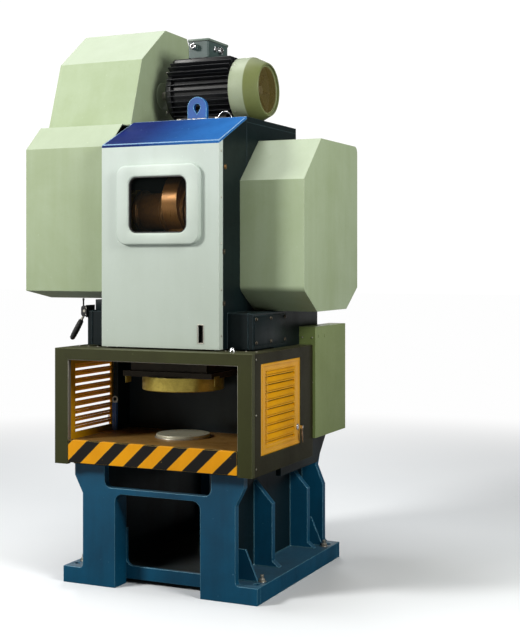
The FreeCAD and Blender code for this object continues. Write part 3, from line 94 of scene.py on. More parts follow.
class Field:
    """A shader value on which Python arithmetic adds Math nodes."""

    def __init__(self, coat: "Coat", socket: bpy.types.NodeSocket) -> None:
        """Hold a socket of a coat's node tree."""
        self.coat = coat
        self.socket = socket

    def math(self, operation: str, *values: "Field | float") -> "Field":
        """Add one Math node.

        Args:
            operation: The Math node's operation.
            values: Its inputs in order.

        Returns:
            The node's result.
        """
        made = self.coat.node("ShaderNodeMath", {"operation": operation},
                              dict(enumerate(values)))
        return Field(self.coat, made.outputs[0])

    def __add__(self, other: "Field | float") -> "Field":
        """Add."""
        return self.math("ADD", self, other)

    def __sub__(self, other: "Field | float") -> "Field":
        """Subtract a value."""
        return self.math("SUBTRACT", self, other)

    def __rsub__(self, other: "Field | float") -> "Field":
        """Subtract from a value."""
        return self.math("SUBTRACT", other, self)

    def __mul__(self, other: "Field | float") -> "Field":
        """Multiply."""
        return self.math("MULTIPLY", self, other)

    def __truediv__(self, other: "Field | float") -> "Field":
        """Divide by a value."""
        return self.math("DIVIDE", self, other)

    def __gt__(self, other: "Field | float") -> "Field":
        """Give one where this is greater, else nought."""
        return self.math("GREATER_THAN", self, other)

    def __abs__(self) -> "Field":
        """Give the size without the sign."""
        return self.math("ABSOLUTE", self)

    __radd__ = __add__
    __rmul__ = __mul__

    def most(self, other: "Field | float") -> "Field":
        """Give the larger of two values."""
        return self.math("MAXIMUM", self, other)

    def fraction(self) -> "Field":
        """Give the part after the whole number."""
        return self.math("FRACT", self)

    def ease(self, low: float, high: float) -> "Field":
        """Rise smoothly from nought to one.

        Args:
            low: The value that gives nought.
            high: The value that gives one.

        Returns:
            The eased value.
        """
        made = self.coat.node("ShaderNodeMapRange", {"interpolation_type": "SMOOTHSTEP"},
                              {"Value": self, "From Min": low, "From Max": high})
        return Field(self.coat, made.outputs[0])


Value = Field | bpy.types.NodeSocket | float | Colour


class Coat:
    """One material under work: a node tree with the press's own coordinates at hand."""

    def __init__(self, name: str) -> None:
        """Start an empty material.

        Args:
            name: The material's name.
        """
        self.material = bpy.data.materials.new(name)
        self.material.use_nodes = True
        self.tree = self.material.node_tree
        self.tree.nodes.clear()
        self.output = self.node("ShaderNodeOutputMaterial")
        coords = self.node("ShaderNodeTexCoord")
        self.place = coords.outputs["Object"]
        self.facing = coords.outputs["Normal"]

    def node(self, kind: str, settings: dict | None = None,
             inputs: dict | None = None) -> bpy.types.Node:
        """Add a node.

        Args:
            kind: The node's type.
            settings: Its settings, set first; "stops" holds a ramp's places and colours.
            inputs: Values or links by the socket's name or number.

        Returns:
            The node.
        """
        made = self.tree.nodes.new(kind)
        for name, value in (settings or {}).items():
            if name == "stops":
                ramp = made.color_ramp
                while len(ramp.elements) < len(value):
                    ramp.elements.new(0.5)
                for element, (place, colour) in zip(ramp.elements, value):
                    element.position = place
                    element.color = colour
            else:
                setattr(made, name, value)
        for name, value in (inputs or {}).items():
            value = value.socket if isinstance(value, Field) else value
            if isinstance(value, bpy.types.NodeSocket):
                self.tree.links.new(value, made.inputs[name])
            else:
                made.inputs[name].default_value = value
        return made

    def axes(self, socket: bpy.types.NodeSocket) -> list[Field]:
        """Split a vector into its X, Y and Z."""
        made = self.node("ShaderNodeSeparateXYZ", None, {0: socket})
        return [Field(self, output) for output in made.outputs]

    def scaled(self, stretch: tuple[float, float, float]) -> bpy.types.NodeSocket:
        """Give the coordinates, stretched along each axis."""
        made = self.node("ShaderNodeVectorMath", {"operation": "MULTIPLY"},
                         {0: self.place, 1: stretch})
        return made.outputs[0]

    def noise(self, scale: float, detail: float = 4.0, rough: float = 0.55,
              stretch: tuple[float, float, float] = (1, 1, 1), twist: float = 0.0) -> Field:
        """Add a noise pattern.

        Args:
            scale: Waves per metre.
            detail: Octaves.
            rough: Strength of each finer octave.
            stretch: Scale along each axis.
            twist: Distortion.

        Returns:
            The pattern, about nought to one.
        """
        made = self.node("ShaderNodeTexNoise", None,
                         {"Vector": self.scaled(stretch), "Scale": scale, "Detail": detail,
                          "Roughness": rough, "Distortion": twist})
        return Field(self, made.outputs["Fac"])

    def cells(self, scale: float, stretch: tuple[float, float, float] = (1, 1, 1)) -> Field:
        """Give the distance to the nearest of scattered points."""
        made = self.node("ShaderNodeTexVoronoi", None,
                         {"Vector": self.scaled(stretch), "Scale": scale})
        return Field(self, made.outputs["Distance"])

    def mix(self, share: Value, first: Value, second: Value) -> bpy.types.NodeSocket:
        """Mix two colours.

        Args:
            share: How much of the second colour.
            first: The first colour.
            second: The second colour.

        Returns:
            The mixed colour.
        """
        made = self.node("ShaderNodeMix", {"data_type": "RGBA"},
                         {0: share, 6: first, 7: second})
        return made.outputs[2]

    def rim(self, radius: float) -> tuple[Field, bpy.types.NodeSocket]:
        """Find the edges of a piece.

        Args:
            radius: How far an edge reaches.

        Returns:
            A mask that is one at an edge, and the normal rounded over the edge.
        """
        bevel = self.node("ShaderNodeBevel", {"samples": 6}, {"Radius": radius})
        flat = self.node("ShaderNodeNewGeometry")
        same = self.node("ShaderNodeVectorMath", {"operation": "DOT_PRODUCT"},
                         {0: bevel.outputs[0], 1: flat.outputs["Normal"]})
        return (1 - Field(self, same.outputs["Value"])).ease(0.012, 0.16), bevel.outputs[0]

    def finish(self, inputs: dict, height: Field | None = None, depth: float = 0.0,
               normal: bpy.types.NodeSocket | None = None) -> bpy.types.Material:
        """Close the material with its shader.

        Args:
            inputs: The shader's sockets.
            height: A relief for the bump.
            depth: The relief's depth in metres.
            normal: A normal for the bump to start from.

        Returns:
            The material.
        """
        if height is not None:
            relief = {"Height": height, "Distance": depth, "Strength": 1.0}
            if normal is not None:
                relief["Normal"] = normal
            inputs["Normal"] = self.node("ShaderNodeBump", None, relief).outputs[0]
        return self.close(self.node("ShaderNodeBsdfPrincipled", None, inputs).outputs[0])

    def close(self, shader: bpy.types.NodeSocket) -> bpy.types.Material:
        """Join the shader to the output and give the material."""
        self.tree.links.new(shader, self.output.inputs["Surface"])
        return self.material


# Finishes -------------------------------------------------------------------------------

@dataclass(frozen=True)
class Enamel:
    """Brushed or sprayed enamel on steel, with clouding and runs; upward faces are paled by
    settled grime and painted top light, and edges by chipped paint and painted edge highlights.
    """

    name: str
    colour: Colour
    deep: Colour
    # The edge colour and strength below paint chipped edges and painted highlights along the
    # edges.
    edge_wear_and_highlight_colour: Colour
    gloss: float = 0.34
    edge_wear_and_highlight: float = 0.8
    edge: float = 0.0035
    dust_and_top_light: float = 0.25
    dust_and_top_light_colour: Colour = tone(150, 150, 130)
    peel: float = 0.00012
    sheen_coat: float = 0.25
    shine: float = 0.4

    def shades(self, coat: Coat) -> tuple[Value, Value]:
        """Give the sound enamel's colour and the deeper colour of its clouds."""
        return self.colour, self.deep

    def make(self) -> bpy.types.Material:
        """Make the material.

        Returns:
            The finished material.
        """
        coat = Coat(self.name)
        facing = coat.axes(coat.facing)
        cloud = coat.noise(1.7, 5, 0.6, twist=0.4)
        runs = coat.noise(7, 4, 0.6, stretch=(1, 1, 0.11))
        fine = coat.noise(55, 4, 0.65)
        chips = coat.noise(95, 5, 0.7)
        rim, rounded = coat.rim(self.edge)
        shade = (cloud * 0.6 + runs * 0.4).ease(0.38, 0.68)
        sound, deep = self.shades(coat)
        colour = coat.mix(shade * 0.75, sound, deep)
        colour = coat.mix((fine - 0.5).ease(0.02, 0.3) * 0.28, colour, deep)
        # Upward faces paled towards the film colour: settled grime, and on the pale guards and
        # cowl painted top light.
        upward_dust_and_top_light = facing[2].ease(0.55, 0.95) * (0.4 + cloud) * self.dust_and_top_light
        colour = coat.mix(upward_dust_and_top_light, colour, self.dust_and_top_light_colour)
        # Pale edges: chipped paint, and painted highlights along the edges.
        worn_and_highlit_edges = (rim * (chips * 1.5 + 0.15)).ease(0.22, 0.62) * self.edge_wear_and_highlight
        specks = coat.cells(21).ease(0.085, 0.05) * (chips > 0.56) * self.edge_wear_and_highlight * 0.6
        worn_and_highlit_edges = worn_and_highlit_edges.most(specks)
        colour = coat.mix(worn_and_highlit_edges, colour, self.edge_wear_and_highlight_colour)
        rough = self.gloss + fine * 0.12 + shade * 0.08 + upward_dust_and_top_light * 0.3 + worn_and_highlit_edges * 0.1
        skin = coat.noise(240, 2, 0.5) + chips * 0.35 - worn_and_highlit_edges * 1.6
        return coat.finish({"Base Color": colour, "Roughness": rough,
                            "Metallic": worn_and_highlit_edges * 0.25, "Coat Weight": self.sheen_coat,
                            "Coat Roughness": 0.18, "Specular IOR Level": self.shine},
                           skin, self.peel, rounded)


@dataclass(frozen=True)
class PaintedLightEnamel(Enamel):
    """Enamel whose colour drifts from one tone to another along one axis, painting light and
    shade as a drift across a panel.
    """

    far: Colour = tone(255, 255, 255)
    far_deep: Colour = tone(235, 235, 235)
    axis: int = 0
    start: float = 0.0
    end: float = 1.0

    def shades(self, coat: Coat) -> tuple[Value, Value]:
        """Give both colours, drifting along the axis."""
        along = coat.axes(coat.place)[self.axis].ease(self.start, self.end)
        return (coat.mix(along, self.colour, self.far),
                coat.mix(along, self.deep, self.far_deep))


@dataclass(frozen=True)
class Stripes(Enamel):
    """Slanted warning stripes sprayed across a bar."""

    dark: Colour = tone(24, 22, 20)
    pitch: float = 0.176
    slant: float = 1.05
    shift: float = 0.0

    def shades(self, coat: Coat) -> tuple[Value, Value]:
        """Give yellow and black in turn, with a slightly soft, uneven line between."""
        across, _, up = coat.axes(coat.place)
        waver = (coat.noise(40, 3, 0.6) - 0.5) * 0.004
        turn = ((across - up * self.slant + waver + self.shift) / self.pitch).fraction()
        black = (abs(turn - 0.5)).ease(0.256, 0.244)
        line = (abs(abs(turn - 0.5) - 0.25)).ease(0.022, 0.004) * 0.35
        painted = coat.mix(black, self.colour, self.dark)
        return (coat.mix(line, painted, tone(250, 196, 60)),
                coat.mix(black, self.deep, tone(12, 11, 10)))


@dataclass(frozen=True)
class Metal:
    """Bare or plated metal with tool marks, stains and bright edges."""

    name: str
    colour: Colour
    stain: Colour
    bright: Colour
    gloss: float = 0.28
    metallic: float = 1.0
    marks: tuple[float, float, float] = (1, 1, 1)
    mark_scale: float = 160.0
    mark_depth: float = 0.00004
    stained: float = 0.6
    edge: float = 0.003

    def make(self) -> bpy.types.Material:
        """Make the material.

        Returns:
            The finished material.
        """
        coat = Coat(self.name)
        cloud = coat.noise(6, 5, 0.65, twist=0.6)
        marks = coat.noise(self.mark_scale, 3, 0.6, stretch=self.marks)
        rust = coat.noise(38, 6, 0.72)
        rim, rounded = coat.rim(self.edge)
        dirty = (cloud * 0.65 + rust * 0.35).ease(0.42, 0.7) * self.stained
        colour = coat.mix(dirty, self.colour, self.stain)
        colour = coat.mix(marks.ease(0.45, 0.75) * 0.3, colour, self.stain)
        # Pale edges: rubbed metal, and painted highlights along the edges.
        worn_and_highlit_edges = (rim * (0.5 + rust)).ease(0.2, 0.6) * 0.8
        colour = coat.mix(worn_and_highlit_edges, colour, self.bright)
        rough = self.gloss + marks * 0.16 + dirty * 0.22 - worn_and_highlit_edges * 0.1
        return coat.finish({"Base Color": colour, "Roughness": rough,
                            "Metallic": self.metallic - dirty * 0.2},
                           marks + rust * 0.3, self.mark_depth, rounded)


@dataclass(frozen=True)
class Moulding:
    """Moulded rubber or plastic with a fine grain and handled, paler edges."""

    name: str
    colour: Colour
    pale: Colour
    gloss: float = 0.5
    grain: float = 900.0
    grain_depth: float = 0.00006

    def make(self) -> bpy.types.Material:
        """Make the material.

        Returns:
            The finished material.
        """
        coat = Coat(self.name)
        cloud = coat.noise(12, 4, 0.6)
        grain = coat.cells(self.grain) + coat.noise(self.grain / 2, 2, 0.5)
        rim, rounded = coat.rim(0.002)
        rubbed = (rim * (0.5 + cloud)).ease(0.3, 0.8) * 0.55 + cloud.ease(0.5, 0.8) * 0.25
        colour = coat.mix(rubbed, self.colour, self.pale)
        rough = self.gloss + cloud * 0.14 - rubbed * 0.12
        return coat.finish({"Base Color": colour, "Roughness": rough}, grain,
                           self.grain_depth, rounded)


@dataclass(frozen=True)
class Pane:
    """Clear safety glass, faintly smeared."""

    name: str = "pane_glass"
    film: float = 0.025

    def make(self) -> bpy.types.Material:
        """Make the material.

        Returns:
            The finished material.
        """
        coat = Coat(self.name)
        smear = coat.noise(9, 4, 0.6, stretch=(1, 1, 0.4), twist=1.2)
        rough = 0.02 + smear.ease(0.5, 0.8) * 0.12
        alpha = self.film + smear.ease(0.5, 0.9) * 0.03
        return coat.finish({"Base Color": tone(70, 78, 78), "Roughness": rough,
                            "Alpha": alpha, "IOR": 1.45}, smear, 0.00002)


@dataclass(frozen=True)
class RingedBar(Enamel):
    """The safety block's finish: blue enamel on the bar and bare steel on its ring."""

    ring_from: float = 0.0

    def shades(self, coat: Coat) -> tuple[Value, Value]:
        """Give the enamel's colours below the ring and steel's above it."""
        ring = coat.axes(coat.place)[2] > self.ring_from
        return (coat.mix(ring, self.colour, tone(215, 215, 208)),
                coat.mix(ring, self.deep, tone(150, 148, 140)))


class Paintshop:
    """Every finish on the press, made once and looked up by its name."""

    def __init__(self) -> None:
        """Make the materials."""
        # Pale edge colour of the frame's blue: chipped paint and painted edge highlights.
        frame_edge_wear_and_highlight = tone(120, 178, 200)
        block_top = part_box("safety_block")[1].z
        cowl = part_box("fan_cowl")
        finishes = (
            Enamel("frame_paint", tone(10, 86, 120), tone(6, 54, 80), frame_edge_wear_and_highlight,
                   gloss=0.34, edge_wear_and_highlight=0.95, edge=0.005, dust_and_top_light=0.12, sheen_coat=0.1),
            # The frame's blue painted much darker for the base's side walls: painted shade.
            Enamel("frame_side_paint", tone(12, 34, 42), tone(6, 16, 20),
                   tone(84, 120, 132), gloss=0.4, edge_wear_and_highlight=0.8, edge=0.005, dust_and_top_light=0.3,
                   dust_and_top_light_colour=tone(60, 60, 46), sheen_coat=0.02, shine=0.2),
            Enamel("inner_paint", tone(10, 30, 38), tone(5, 14, 18), tone(60, 84, 92),
                   gloss=0.45, edge_wear_and_highlight=0.6, dust_and_top_light=0.4, dust_and_top_light_colour=tone(44, 46, 40),
                   sheen_coat=0.0),
            Enamel("head_paint", tone(9, 24, 27), tone(5, 13, 15), tone(84, 112, 120),
                   gloss=0.36, edge_wear_and_highlight=0.55, dust_and_top_light=0.05, sheen_coat=0.0, shine=0.18),
            # Painted light: the roof's blue grows lighter towards its right end.
            PaintedLightEnamel("roof_paint", tone(2, 26, 98), tone(2, 22, 76),
                        tone(150, 195, 228), gloss=0.46, edge_wear_and_highlight=0.9, edge=0.004, dust_and_top_light=0.0,
                        far=tone(30, 102, 172), far_deep=tone(16, 78, 144), axis=0,
                        start=-0.25, end=0.36, sheen_coat=0.0, shine=0.1),
            Enamel("lug_paint", tone(16, 84, 160), tone(8, 52, 108), tone(140, 205, 232),
                   gloss=0.3, edge_wear_and_highlight=1.0, edge=0.007, dust_and_top_light=0.02, sheen_coat=0.05,
                   shine=0.25),
            # Painted light: the cover grows lighter towards its top, and its pale edges are
            # painted highlights.
            PaintedLightEnamel("cover_paint", tone(182, 194, 184), tone(172, 184, 172),
                        tone(236, 242, 236), gloss=0.4, edge_wear_and_highlight=0.7, dust_and_top_light=0.1, peel=0.00008,
                        far=tone(190, 202, 196), far_deep=tone(180, 192, 184), axis=2,
                        start=1.5, end=2.35, sheen_coat=0.05),
            # The guards' whitish film on upward faces is mostly painted top light.
            Enamel("guard_paint", tone(158, 173, 142), tone(142, 157, 120),
                   tone(214, 224, 196), gloss=0.46, edge_wear_and_highlight=0.6, edge=0.004, dust_and_top_light=0.5,
                   dust_and_top_light_colour=tone(212, 219, 214), sheen_coat=0.02, shine=0.3),
            # Pale blue of the roof's folds: rubbed paint and painted edge highlights.
            Enamel("rubbed_and_highlit_fold", tone(120, 168, 206), tone(60, 110, 170),
                   tone(222, 234, 240), gloss=0.36, edge_wear_and_highlight=1.0, edge=0.003, dust_and_top_light=0.2),
            Enamel("cabinet_paint", tone(118, 134, 78), tone(104, 118, 62),
                   tone(176, 190, 140), gloss=0.44, edge_wear_and_highlight=0.6, edge=0.004, dust_and_top_light=0.2,
                   sheen_coat=0.05),
            Enamel("enclosure_paint", tone(55, 58, 24), tone(42, 42, 14),
                   tone(140, 146, 106), gloss=0.42, edge_wear_and_highlight=0.7, dust_and_top_light=0.12, sheen_coat=0.03,
                   shine=0.25),
            # The enclosure's olive painted darker for its sides: painted shade.
            Enamel("enclosure_side_paint", tone(36, 34, 13), tone(22, 20, 7),
                   tone(120, 118, 76), gloss=0.44, edge_wear_and_highlight=0.7, dust_and_top_light=0.05, sheen_coat=0.0,
                   shine=0.15),
            Enamel("door_paint", tone(220, 158, 8), tone(196, 128, 3),
                   tone(246, 208, 90), gloss=0.38, edge_wear_and_highlight=0.8, edge=0.003, dust_and_top_light=0.02,
                   sheen_coat=0.05, shine=0.3),
            Stripes("hazard_paint", tone(240, 164, 4), tone(214, 138, 2),
                    tone(250, 206, 90), gloss=0.42, edge_wear_and_highlight=0.6, edge=0.003, dust_and_top_light=0.0,
                    shine=0.2, shift=0.735, sheen_coat=0.05),
            RingedBar("block_paint", tone(42, 96, 170), tone(24, 66, 124),
                      tone(190, 205, 215), gloss=0.35, ring_from=block_top - 0.038),
            Enamel("motor_paint", tone(13, 14, 17), tone(8, 8, 10), tone(128, 134, 138),
                   gloss=0.32, edge_wear_and_highlight=0.45, edge=0.0016, dust_and_top_light=0.0, sheen_coat=0.05,
                   shine=0.25),
            # Painted shade: the cowl's tapered end is painted a darker olive than its straight
            # band, and its whitish film on upward faces is painted top light.
            PaintedLightEnamel("cowl_paint", tone(148, 158, 132), tone(124, 134, 104),
                        tone(206, 212, 190), gloss=0.42, edge_wear_and_highlight=0.6, dust_and_top_light=0.25,
                        dust_and_top_light_colour=tone(200, 208, 196), far=tone(104, 112, 66),
                        far_deep=tone(80, 86, 42), axis=0, start=cowl[0].x + 0.086,
                        end=cowl[0].x + 0.093, sheen_coat=0.03, shine=0.3),
            Enamel("box_grey", tone(62, 80, 78), tone(46, 62, 58), tone(130, 146, 140),
                   gloss=0.42, edge_wear_and_highlight=0.7, dust_and_top_light=0.1, sheen_coat=0.05),
            # The lid's grey painted lighter than the box's: painted top light.
            Enamel("box_lid_painted_light_grey", tone(96, 112, 102), tone(76, 92, 80),
                   tone(170, 184, 172), gloss=0.42, edge_wear_and_highlight=0.7, dust_and_top_light=0.3, sheen_coat=0.05),
            Metal("bare_steel", tone(196, 192, 180), tone(118, 108, 88),
                  tone(240, 240, 236), metallic=0.85),
            Metal("disc_steel", tone(196, 196, 176), tone(140, 132, 96),
                  tone(244, 244, 236), metallic=0.55, gloss=0.34),
            Metal("oiled_steel", tone(122, 84, 38), tone(56, 34, 12), tone(226, 190, 130),
                  gloss=0.22, marks=(1, 0.08, 0.08), mark_scale=220, metallic=0.6),
            Metal("bright_chrome", tone(214, 216, 220), tone(150, 148, 140),
                  tone(250, 250, 250), gloss=0.1, stained=0.25),
            Metal("grille_wire", tone(104, 86, 34), tone(60, 46, 16), tone(176, 158, 96),
                  gloss=0.4, metallic=0.5),
            Metal("cast_iron", tone(50, 42, 28), tone(26, 21, 13), tone(150, 140, 124),
                  gloss=0.42, metallic=0.5, mark_depth=0.0002, mark_scale=70),
            Metal("bed_steel", tone(150, 114, 58), tone(96, 66, 26), tone(230, 214, 170),
                  gloss=0.34, marks=(0.05, 1, 1), mark_scale=240, stained=0.8,
                  metallic=0.3),
            Metal("brass", tone(196, 176, 84), tone(120, 98, 26), tone(250, 240, 200),
                  gloss=0.26, marks=(0.2, 0.2, 1), mark_scale=260, stained=0.6,
                  metallic=0.7),
            Metal("weld_bead", tone(40, 96, 116), tone(14, 44, 56), tone(150, 180, 190),
                  gloss=0.35, metallic=0.3, marks=(1, 1, 1), mark_scale=320,
                  mark_depth=0.0004),
            Moulding("lever_black", tone(20, 20, 21), tone(78, 78, 74), gloss=0.36),
            Moulding("belt_rubber", tone(18, 18, 18), tone(60, 58, 54), gloss=0.6),
            Moulding("gasket_rubber", tone(12, 12, 13), tone(46, 46, 46), gloss=0.46),
            Pane(),
        )
        self.made = {finish.name: finish.make() for finish in finishes}
        log.info("%d finishes", len(self.made))

    def dress(self, node: str, finish: str) -> None:
        """Give a node of the frame its finish."""
        for slot in NODES[node].material_slots:
            slot.material = self.made[finish]


# Shapes ---------------------------------------------------------------------------------

def facing(place: tuple | Vector, way: Way | tuple = Way.UP, roll: float = 0.0) -> Matrix:
    """Give the matrix that stands a shape at a place with its +Z turned one way.

    Args:
        place: Where the shape's origin goes.
        way: Where its +Z points.
        roll: Degrees that it is turned about that axis.

    Returns:
        The matrix.
    """
    line = Vector(way.value if isinstance(way, Way) else way)
    turn = line.to_track_quat("Z", "Y").to_matrix().to_4x4()
    return Matrix.Translation(place) @ turn @ Matrix.Rotation(math.radians(roll), 4, "Z")


class Shape:
    """A mesh under work, cut, turned and joined before it becomes a piece."""

    def __init__(self) -> None:
        """Start empty."""
        self.mesh = bmesh.new()

    def soften(self, edges: list, width: float, segments: int = 2) -> None:
        """Bevel edges.

        Args:
            edges: The edges.
            width: The bevel's width.
            segments: Its steps.
        """
        bmesh.ops.bevel(self.mesh, geom=edges, offset=width, offset_type="OFFSET",
                        segments=segments, profile=0.5, affect="EDGES", clamp_overlap=True,
                        material=-1)

    def creases(self, least: float = 25.0) -> list:
        """List the edges that turn by more than some degrees."""
        limit = math.radians(least)
        return [e for e in self.mesh.edges
                if len(e.link_faces) == 2 and e.calc_face_angle(0.0) > limit]

    def join(self, other: "Shape", place: Matrix | None = None) -> "Shape":
        """Add a copy of another shape.

        Args:
            other: The shape to copy.
            place: Where the copy goes.

        Returns:
            This shape.
        """
        copy = bpy.data.meshes.new("copy")
        other.mesh.to_mesh(copy)
        if place is not None:
            copy.transform(place)
        self.mesh.from_mesh(copy)
        bpy.data.meshes.remove(copy)
        return self


def block(low: tuple | Vector, high: tuple | Vector, bevel: float = 0.0,
          segments: int = 2) -> Shape:
    """Make a box with softened edges.

    Args:
        low: Its lowest corner.
        high: Its highest corner.
        bevel: The width of the softened edges.
        segments: Their steps.

    Returns:
        The shape.
    """
    shape = Shape()
    low, high = Vector(low), Vector(high)
    bmesh.ops.create_cube(shape.mesh, size=1.0)
    bmesh.ops.scale(shape.mesh, vec=high - low, verts=shape.mesh.verts)
    bmesh.ops.translate(shape.mesh, vec=(low + high) / 2, verts=shape.mesh.verts)
    if bevel > 0:
        shape.soften(list(shape.mesh.edges), bevel, segments)
    return shape


def turned(profile: list[tuple[float, float]], segments: int = 48,
           closed: bool = False) -> Shape:
    """Spin a profile about +Z.

    Args:
        profile: Points of (radius, height).
        segments: Steps round the axis.
        closed: Whether the profile's last point joins its first.

    Returns:
        The shape.
    """
    shape = Shape()
    points = [shape.mesh.verts.new((radius, 0, up)) for radius, up in profile]
    pairs = list(zip(points, points[1:]))
    if closed:
        pairs.append((points[-1], points[0]))
    lines = [shape.mesh.edges.new(pair) for pair in pairs]
    bmesh.ops.spin(shape.mesh, geom=points + lines, cent=(0, 0, 0), axis=(0, 0, 1),
                   angle=math.tau, steps=segments, use_merge=True, use_duplicate=False)
    bmesh.ops.remove_doubles(shape.mesh, verts=shape.mesh.verts, dist=1e-6)
    return shape


def slab(outline: list[tuple[float, float]], thick: float, bevel: float = 0.0,
         segments: int = 2) -> Shape:
    """Raise a flat outline along +Z.

    Args:
        outline: The corners in the XY plane.
        thick: The height.
        bevel: The width of the softened top and bottom edges.
        segments: Their steps.

    Returns:
        The shape.
    """
    shape = Shape()
    face = shape.mesh.faces.new([shape.mesh.verts.new((x, y, 0)) for x, y in outline])
    raised = bmesh.ops.extrude_face_region(shape.mesh, geom=[face])["geom"]
    top = [item for item in raised if isinstance(item, bmesh.types.BMVert)]
    bmesh.ops.translate(shape.mesh, vec=(0, 0, thick), verts=top)
    bmesh.ops.recalc_face_normals(shape.mesh, faces=shape.mesh.faces)
    if bevel > 0:
        shape.soften(shape.creases(50), bevel, segments)
    return shape


def rounded_rectangle(half_wide: float, half_high: float, radius: float,
                      steps: int = 8) -> list[tuple[float, float]]:
    """Give the outline of a rectangle with round corners.

    Args:
        half_wide: Half its width.
        half_high: Half its height.
        radius: The corners' radius.
        steps: Points in each corner.

    Returns:
        The outline, anticlockwise.
    """
    outline = []
    for corner, (side, rise) in enumerate(((1, 1), (-1, 1), (-1, -1), (1, -1))):
        middle = (side * (half_wide - radius), rise * (half_high - radius))
        for step in range(steps + 1):
            angle = math.radians(90) * (corner + step / steps)
            outline.append((middle[0] + radius * math.cos(angle),
                            middle[1] + radius * math.sin(angle)))
    return outline


def band(outer: list[tuple[float, float]], inner: list[tuple[float, float]], thick: float,
         bevel: float = 0.0, segments: int = 3) -> Shape:
    """Raise the band between two outlines with as many points along +Z.

    Args:
        outer: The outer outline.
        inner: The inner outline.
        thick: The height.
        bevel: The width of the softened edges.
        segments: Their steps.

    Returns:
        The shape.
    """
    shape = Shape()
    loops = []
    for outline in (outer, inner):
        points = [shape.mesh.verts.new((x, y, 0)) for x, y in outline]
        loops.append([shape.mesh.edges.new(pair)
                      for pair in zip(points, points[1:] + points[:1])])
    bridged = bmesh.ops.bridge_loops(shape.mesh, edges=loops[0] + loops[1])["faces"]
    raised = bmesh.ops.extrude_face_region(shape.mesh, geom=bridged)["geom"]
    top = [item for item in raised if isinstance(item, bmesh.types.BMVert)]
    bmesh.ops.translate(shape.mesh, vec=(0, 0, thick), verts=top)
    bmesh.ops.recalc_face_normals(shape.mesh, faces=shape.mesh.faces)
    if bevel > 0:
        shape.soften(shape.creases(50), bevel, segments)
    return shape


def pipe(points: list[tuple[float, float, float]], radius: float,
         closed: bool = False) -> Shape:
    """Bend a round bar along a smooth line through points.

    Args:
        points: The points.
        radius: The bar's radius.
        closed: Whether the bar joins its own start.

    Returns:
        The shape.
    """
    curve = bpy.data.curves.new("bar", "CURVE")
    curve.dimensions = "3D"
    curve.bevel_depth = radius
    curve.bevel_resolution = 3
    curve.use_fill_caps = True
    spline = curve.splines.new("NURBS")
    spline.points.add(len(points) - 1)
    for target, point in zip(spline.points, points):
        target.co = (*point, 1.0)
    spline.order_u = 3
    spline.use_endpoint_u = not closed
    spline.use_cyclic_u = closed
    spline.resolution_u = 6
    holder = bpy.data.objects.new("bar", curve)
    bent = bpy.data.meshes.new_from_object(holder)
    shape = Shape()
    shape.mesh.from_mesh(bent)
    bpy.data.objects.remove(holder)
    bpy.data.curves.remove(curve)
    bpy.data.meshes.remove(bent)
    return shape


def hex_bolt(size: float, washer: bool = True) -> Shape:
    """Make a hexagon bolt's head on its washer, standing on Z = 0.

    Args:
        size: The thread's diameter.
        washer: Whether it has a washer.

    Returns:
        The shape.
    """
    shape = Shape()
    lift = 0.0
    if washer:
        lift = 0.16 * size
        shape.join(turned([(0, 0), (1.15 * size, 0), (1.15 * size, lift * 0.8),
                           (1.08 * size, lift), (0, lift)], 28))
    head = Shape()
    bmesh.ops.create_cone(head.mesh, cap_ends=True, segments=6, radius1=0.92 * size,
                          radius2=0.92 * size, depth=0.65 * size)
    bmesh.ops.translate(head.mesh, vec=(0, 0, lift + 0.325 * size), verts=head.mesh.verts)
    head.soften(head.creases(), 0.07 * size, 2)
    shape.join(head)
    crown = lift + 0.65 * size
    shape.join(turned([(0, crown - 0.02 * size), (0.72 * size, crown - 0.02 * size),
                       (0.66 * size, crown + 0.03 * size), (0, crown + 0.03 * size)], 24))
    return shape


def socket_screw(size: float) -> Shape:
    """Make a socket screw's head with its hexagon recess, standing on Z = 0."""
    shape = turned([(0, 0), (0.8 * size, 0), (0.8 * size, 0.72 * size),
                    (0.72 * size, 0.8 * size), (0.46 * size, 0.8 * size)], 24)
    shape.join(turned([(0.46 * size, 0.8 * size), (0.42 * size, 0.3 * size),
                       (0, 0.3 * size)], 24))
    return shape


def pan_screw(size: float) -> Shape:
    """Make a domed screw's head with a slot, standing on Z = 0."""
    dome = [(0, 0), (0.95 * size, 0)]
    for step in range(5):
        angle = math.radians(90) * step / 4
        dome.append((0.95 * size * math.cos(angle) ** 0.6,
                     0.18 * size + 0.4 * size * math.sin(angle)))
    shape = turned(dome, 24)
    slot = block((-0.7 * size, -0.09 * size, 0.5 * size),
                 (0.7 * size, 0.09 * size, 0.62 * size), 0.02 * size)
    return shape.join(slot)


def bead(start: tuple | Vector, end: tuple | Vector, radius: float) -> Shape:
    """Lay a weld bead between two points, with its overlapping ripples.

    Args:
        start: Where it starts.
        end: Where it ends.
        radius: Its radius.

    Returns:
        The shape.
    """
    shape = Shape()
    start, end = Vector(start), Vector(end)
    long = (end - start).length
    steps = max(6, int(long / (radius * 0.55)))
    circle = bmesh.ops.create_circle(shape.mesh, cap_ends=False, segments=8, radius=radius)
    geom = list(circle["verts"]) + list(shape.mesh.edges)
    bmesh.ops.spin(shape.mesh, geom=geom, cent=(0, 0, 0), axis=(0, 0, 1), angle=0.0,
                   dvec=(0, 0, long / steps), steps=steps, use_merge=False,
                   use_duplicate=False)
    for vert in shape.mesh.verts:
        turn = round(vert.co.z / long * steps)
        swell = 1 + 0.14 * math.sin(turn * 2.1) + 0.07 * math.sin(turn * 0.73)
        tip = 0.5 if turn in (0, steps) else 1.0
        vert.co.x *= swell * tip
        vert.co.y *= swell * tip
    bmesh.ops.holes_fill(shape.mesh, edges=shape.mesh.edges, sides=8)
    shape.mesh.transform(facing(start, tuple(end - start)))
    return shape


# Assemblies -----------------------------------------------------------------------------

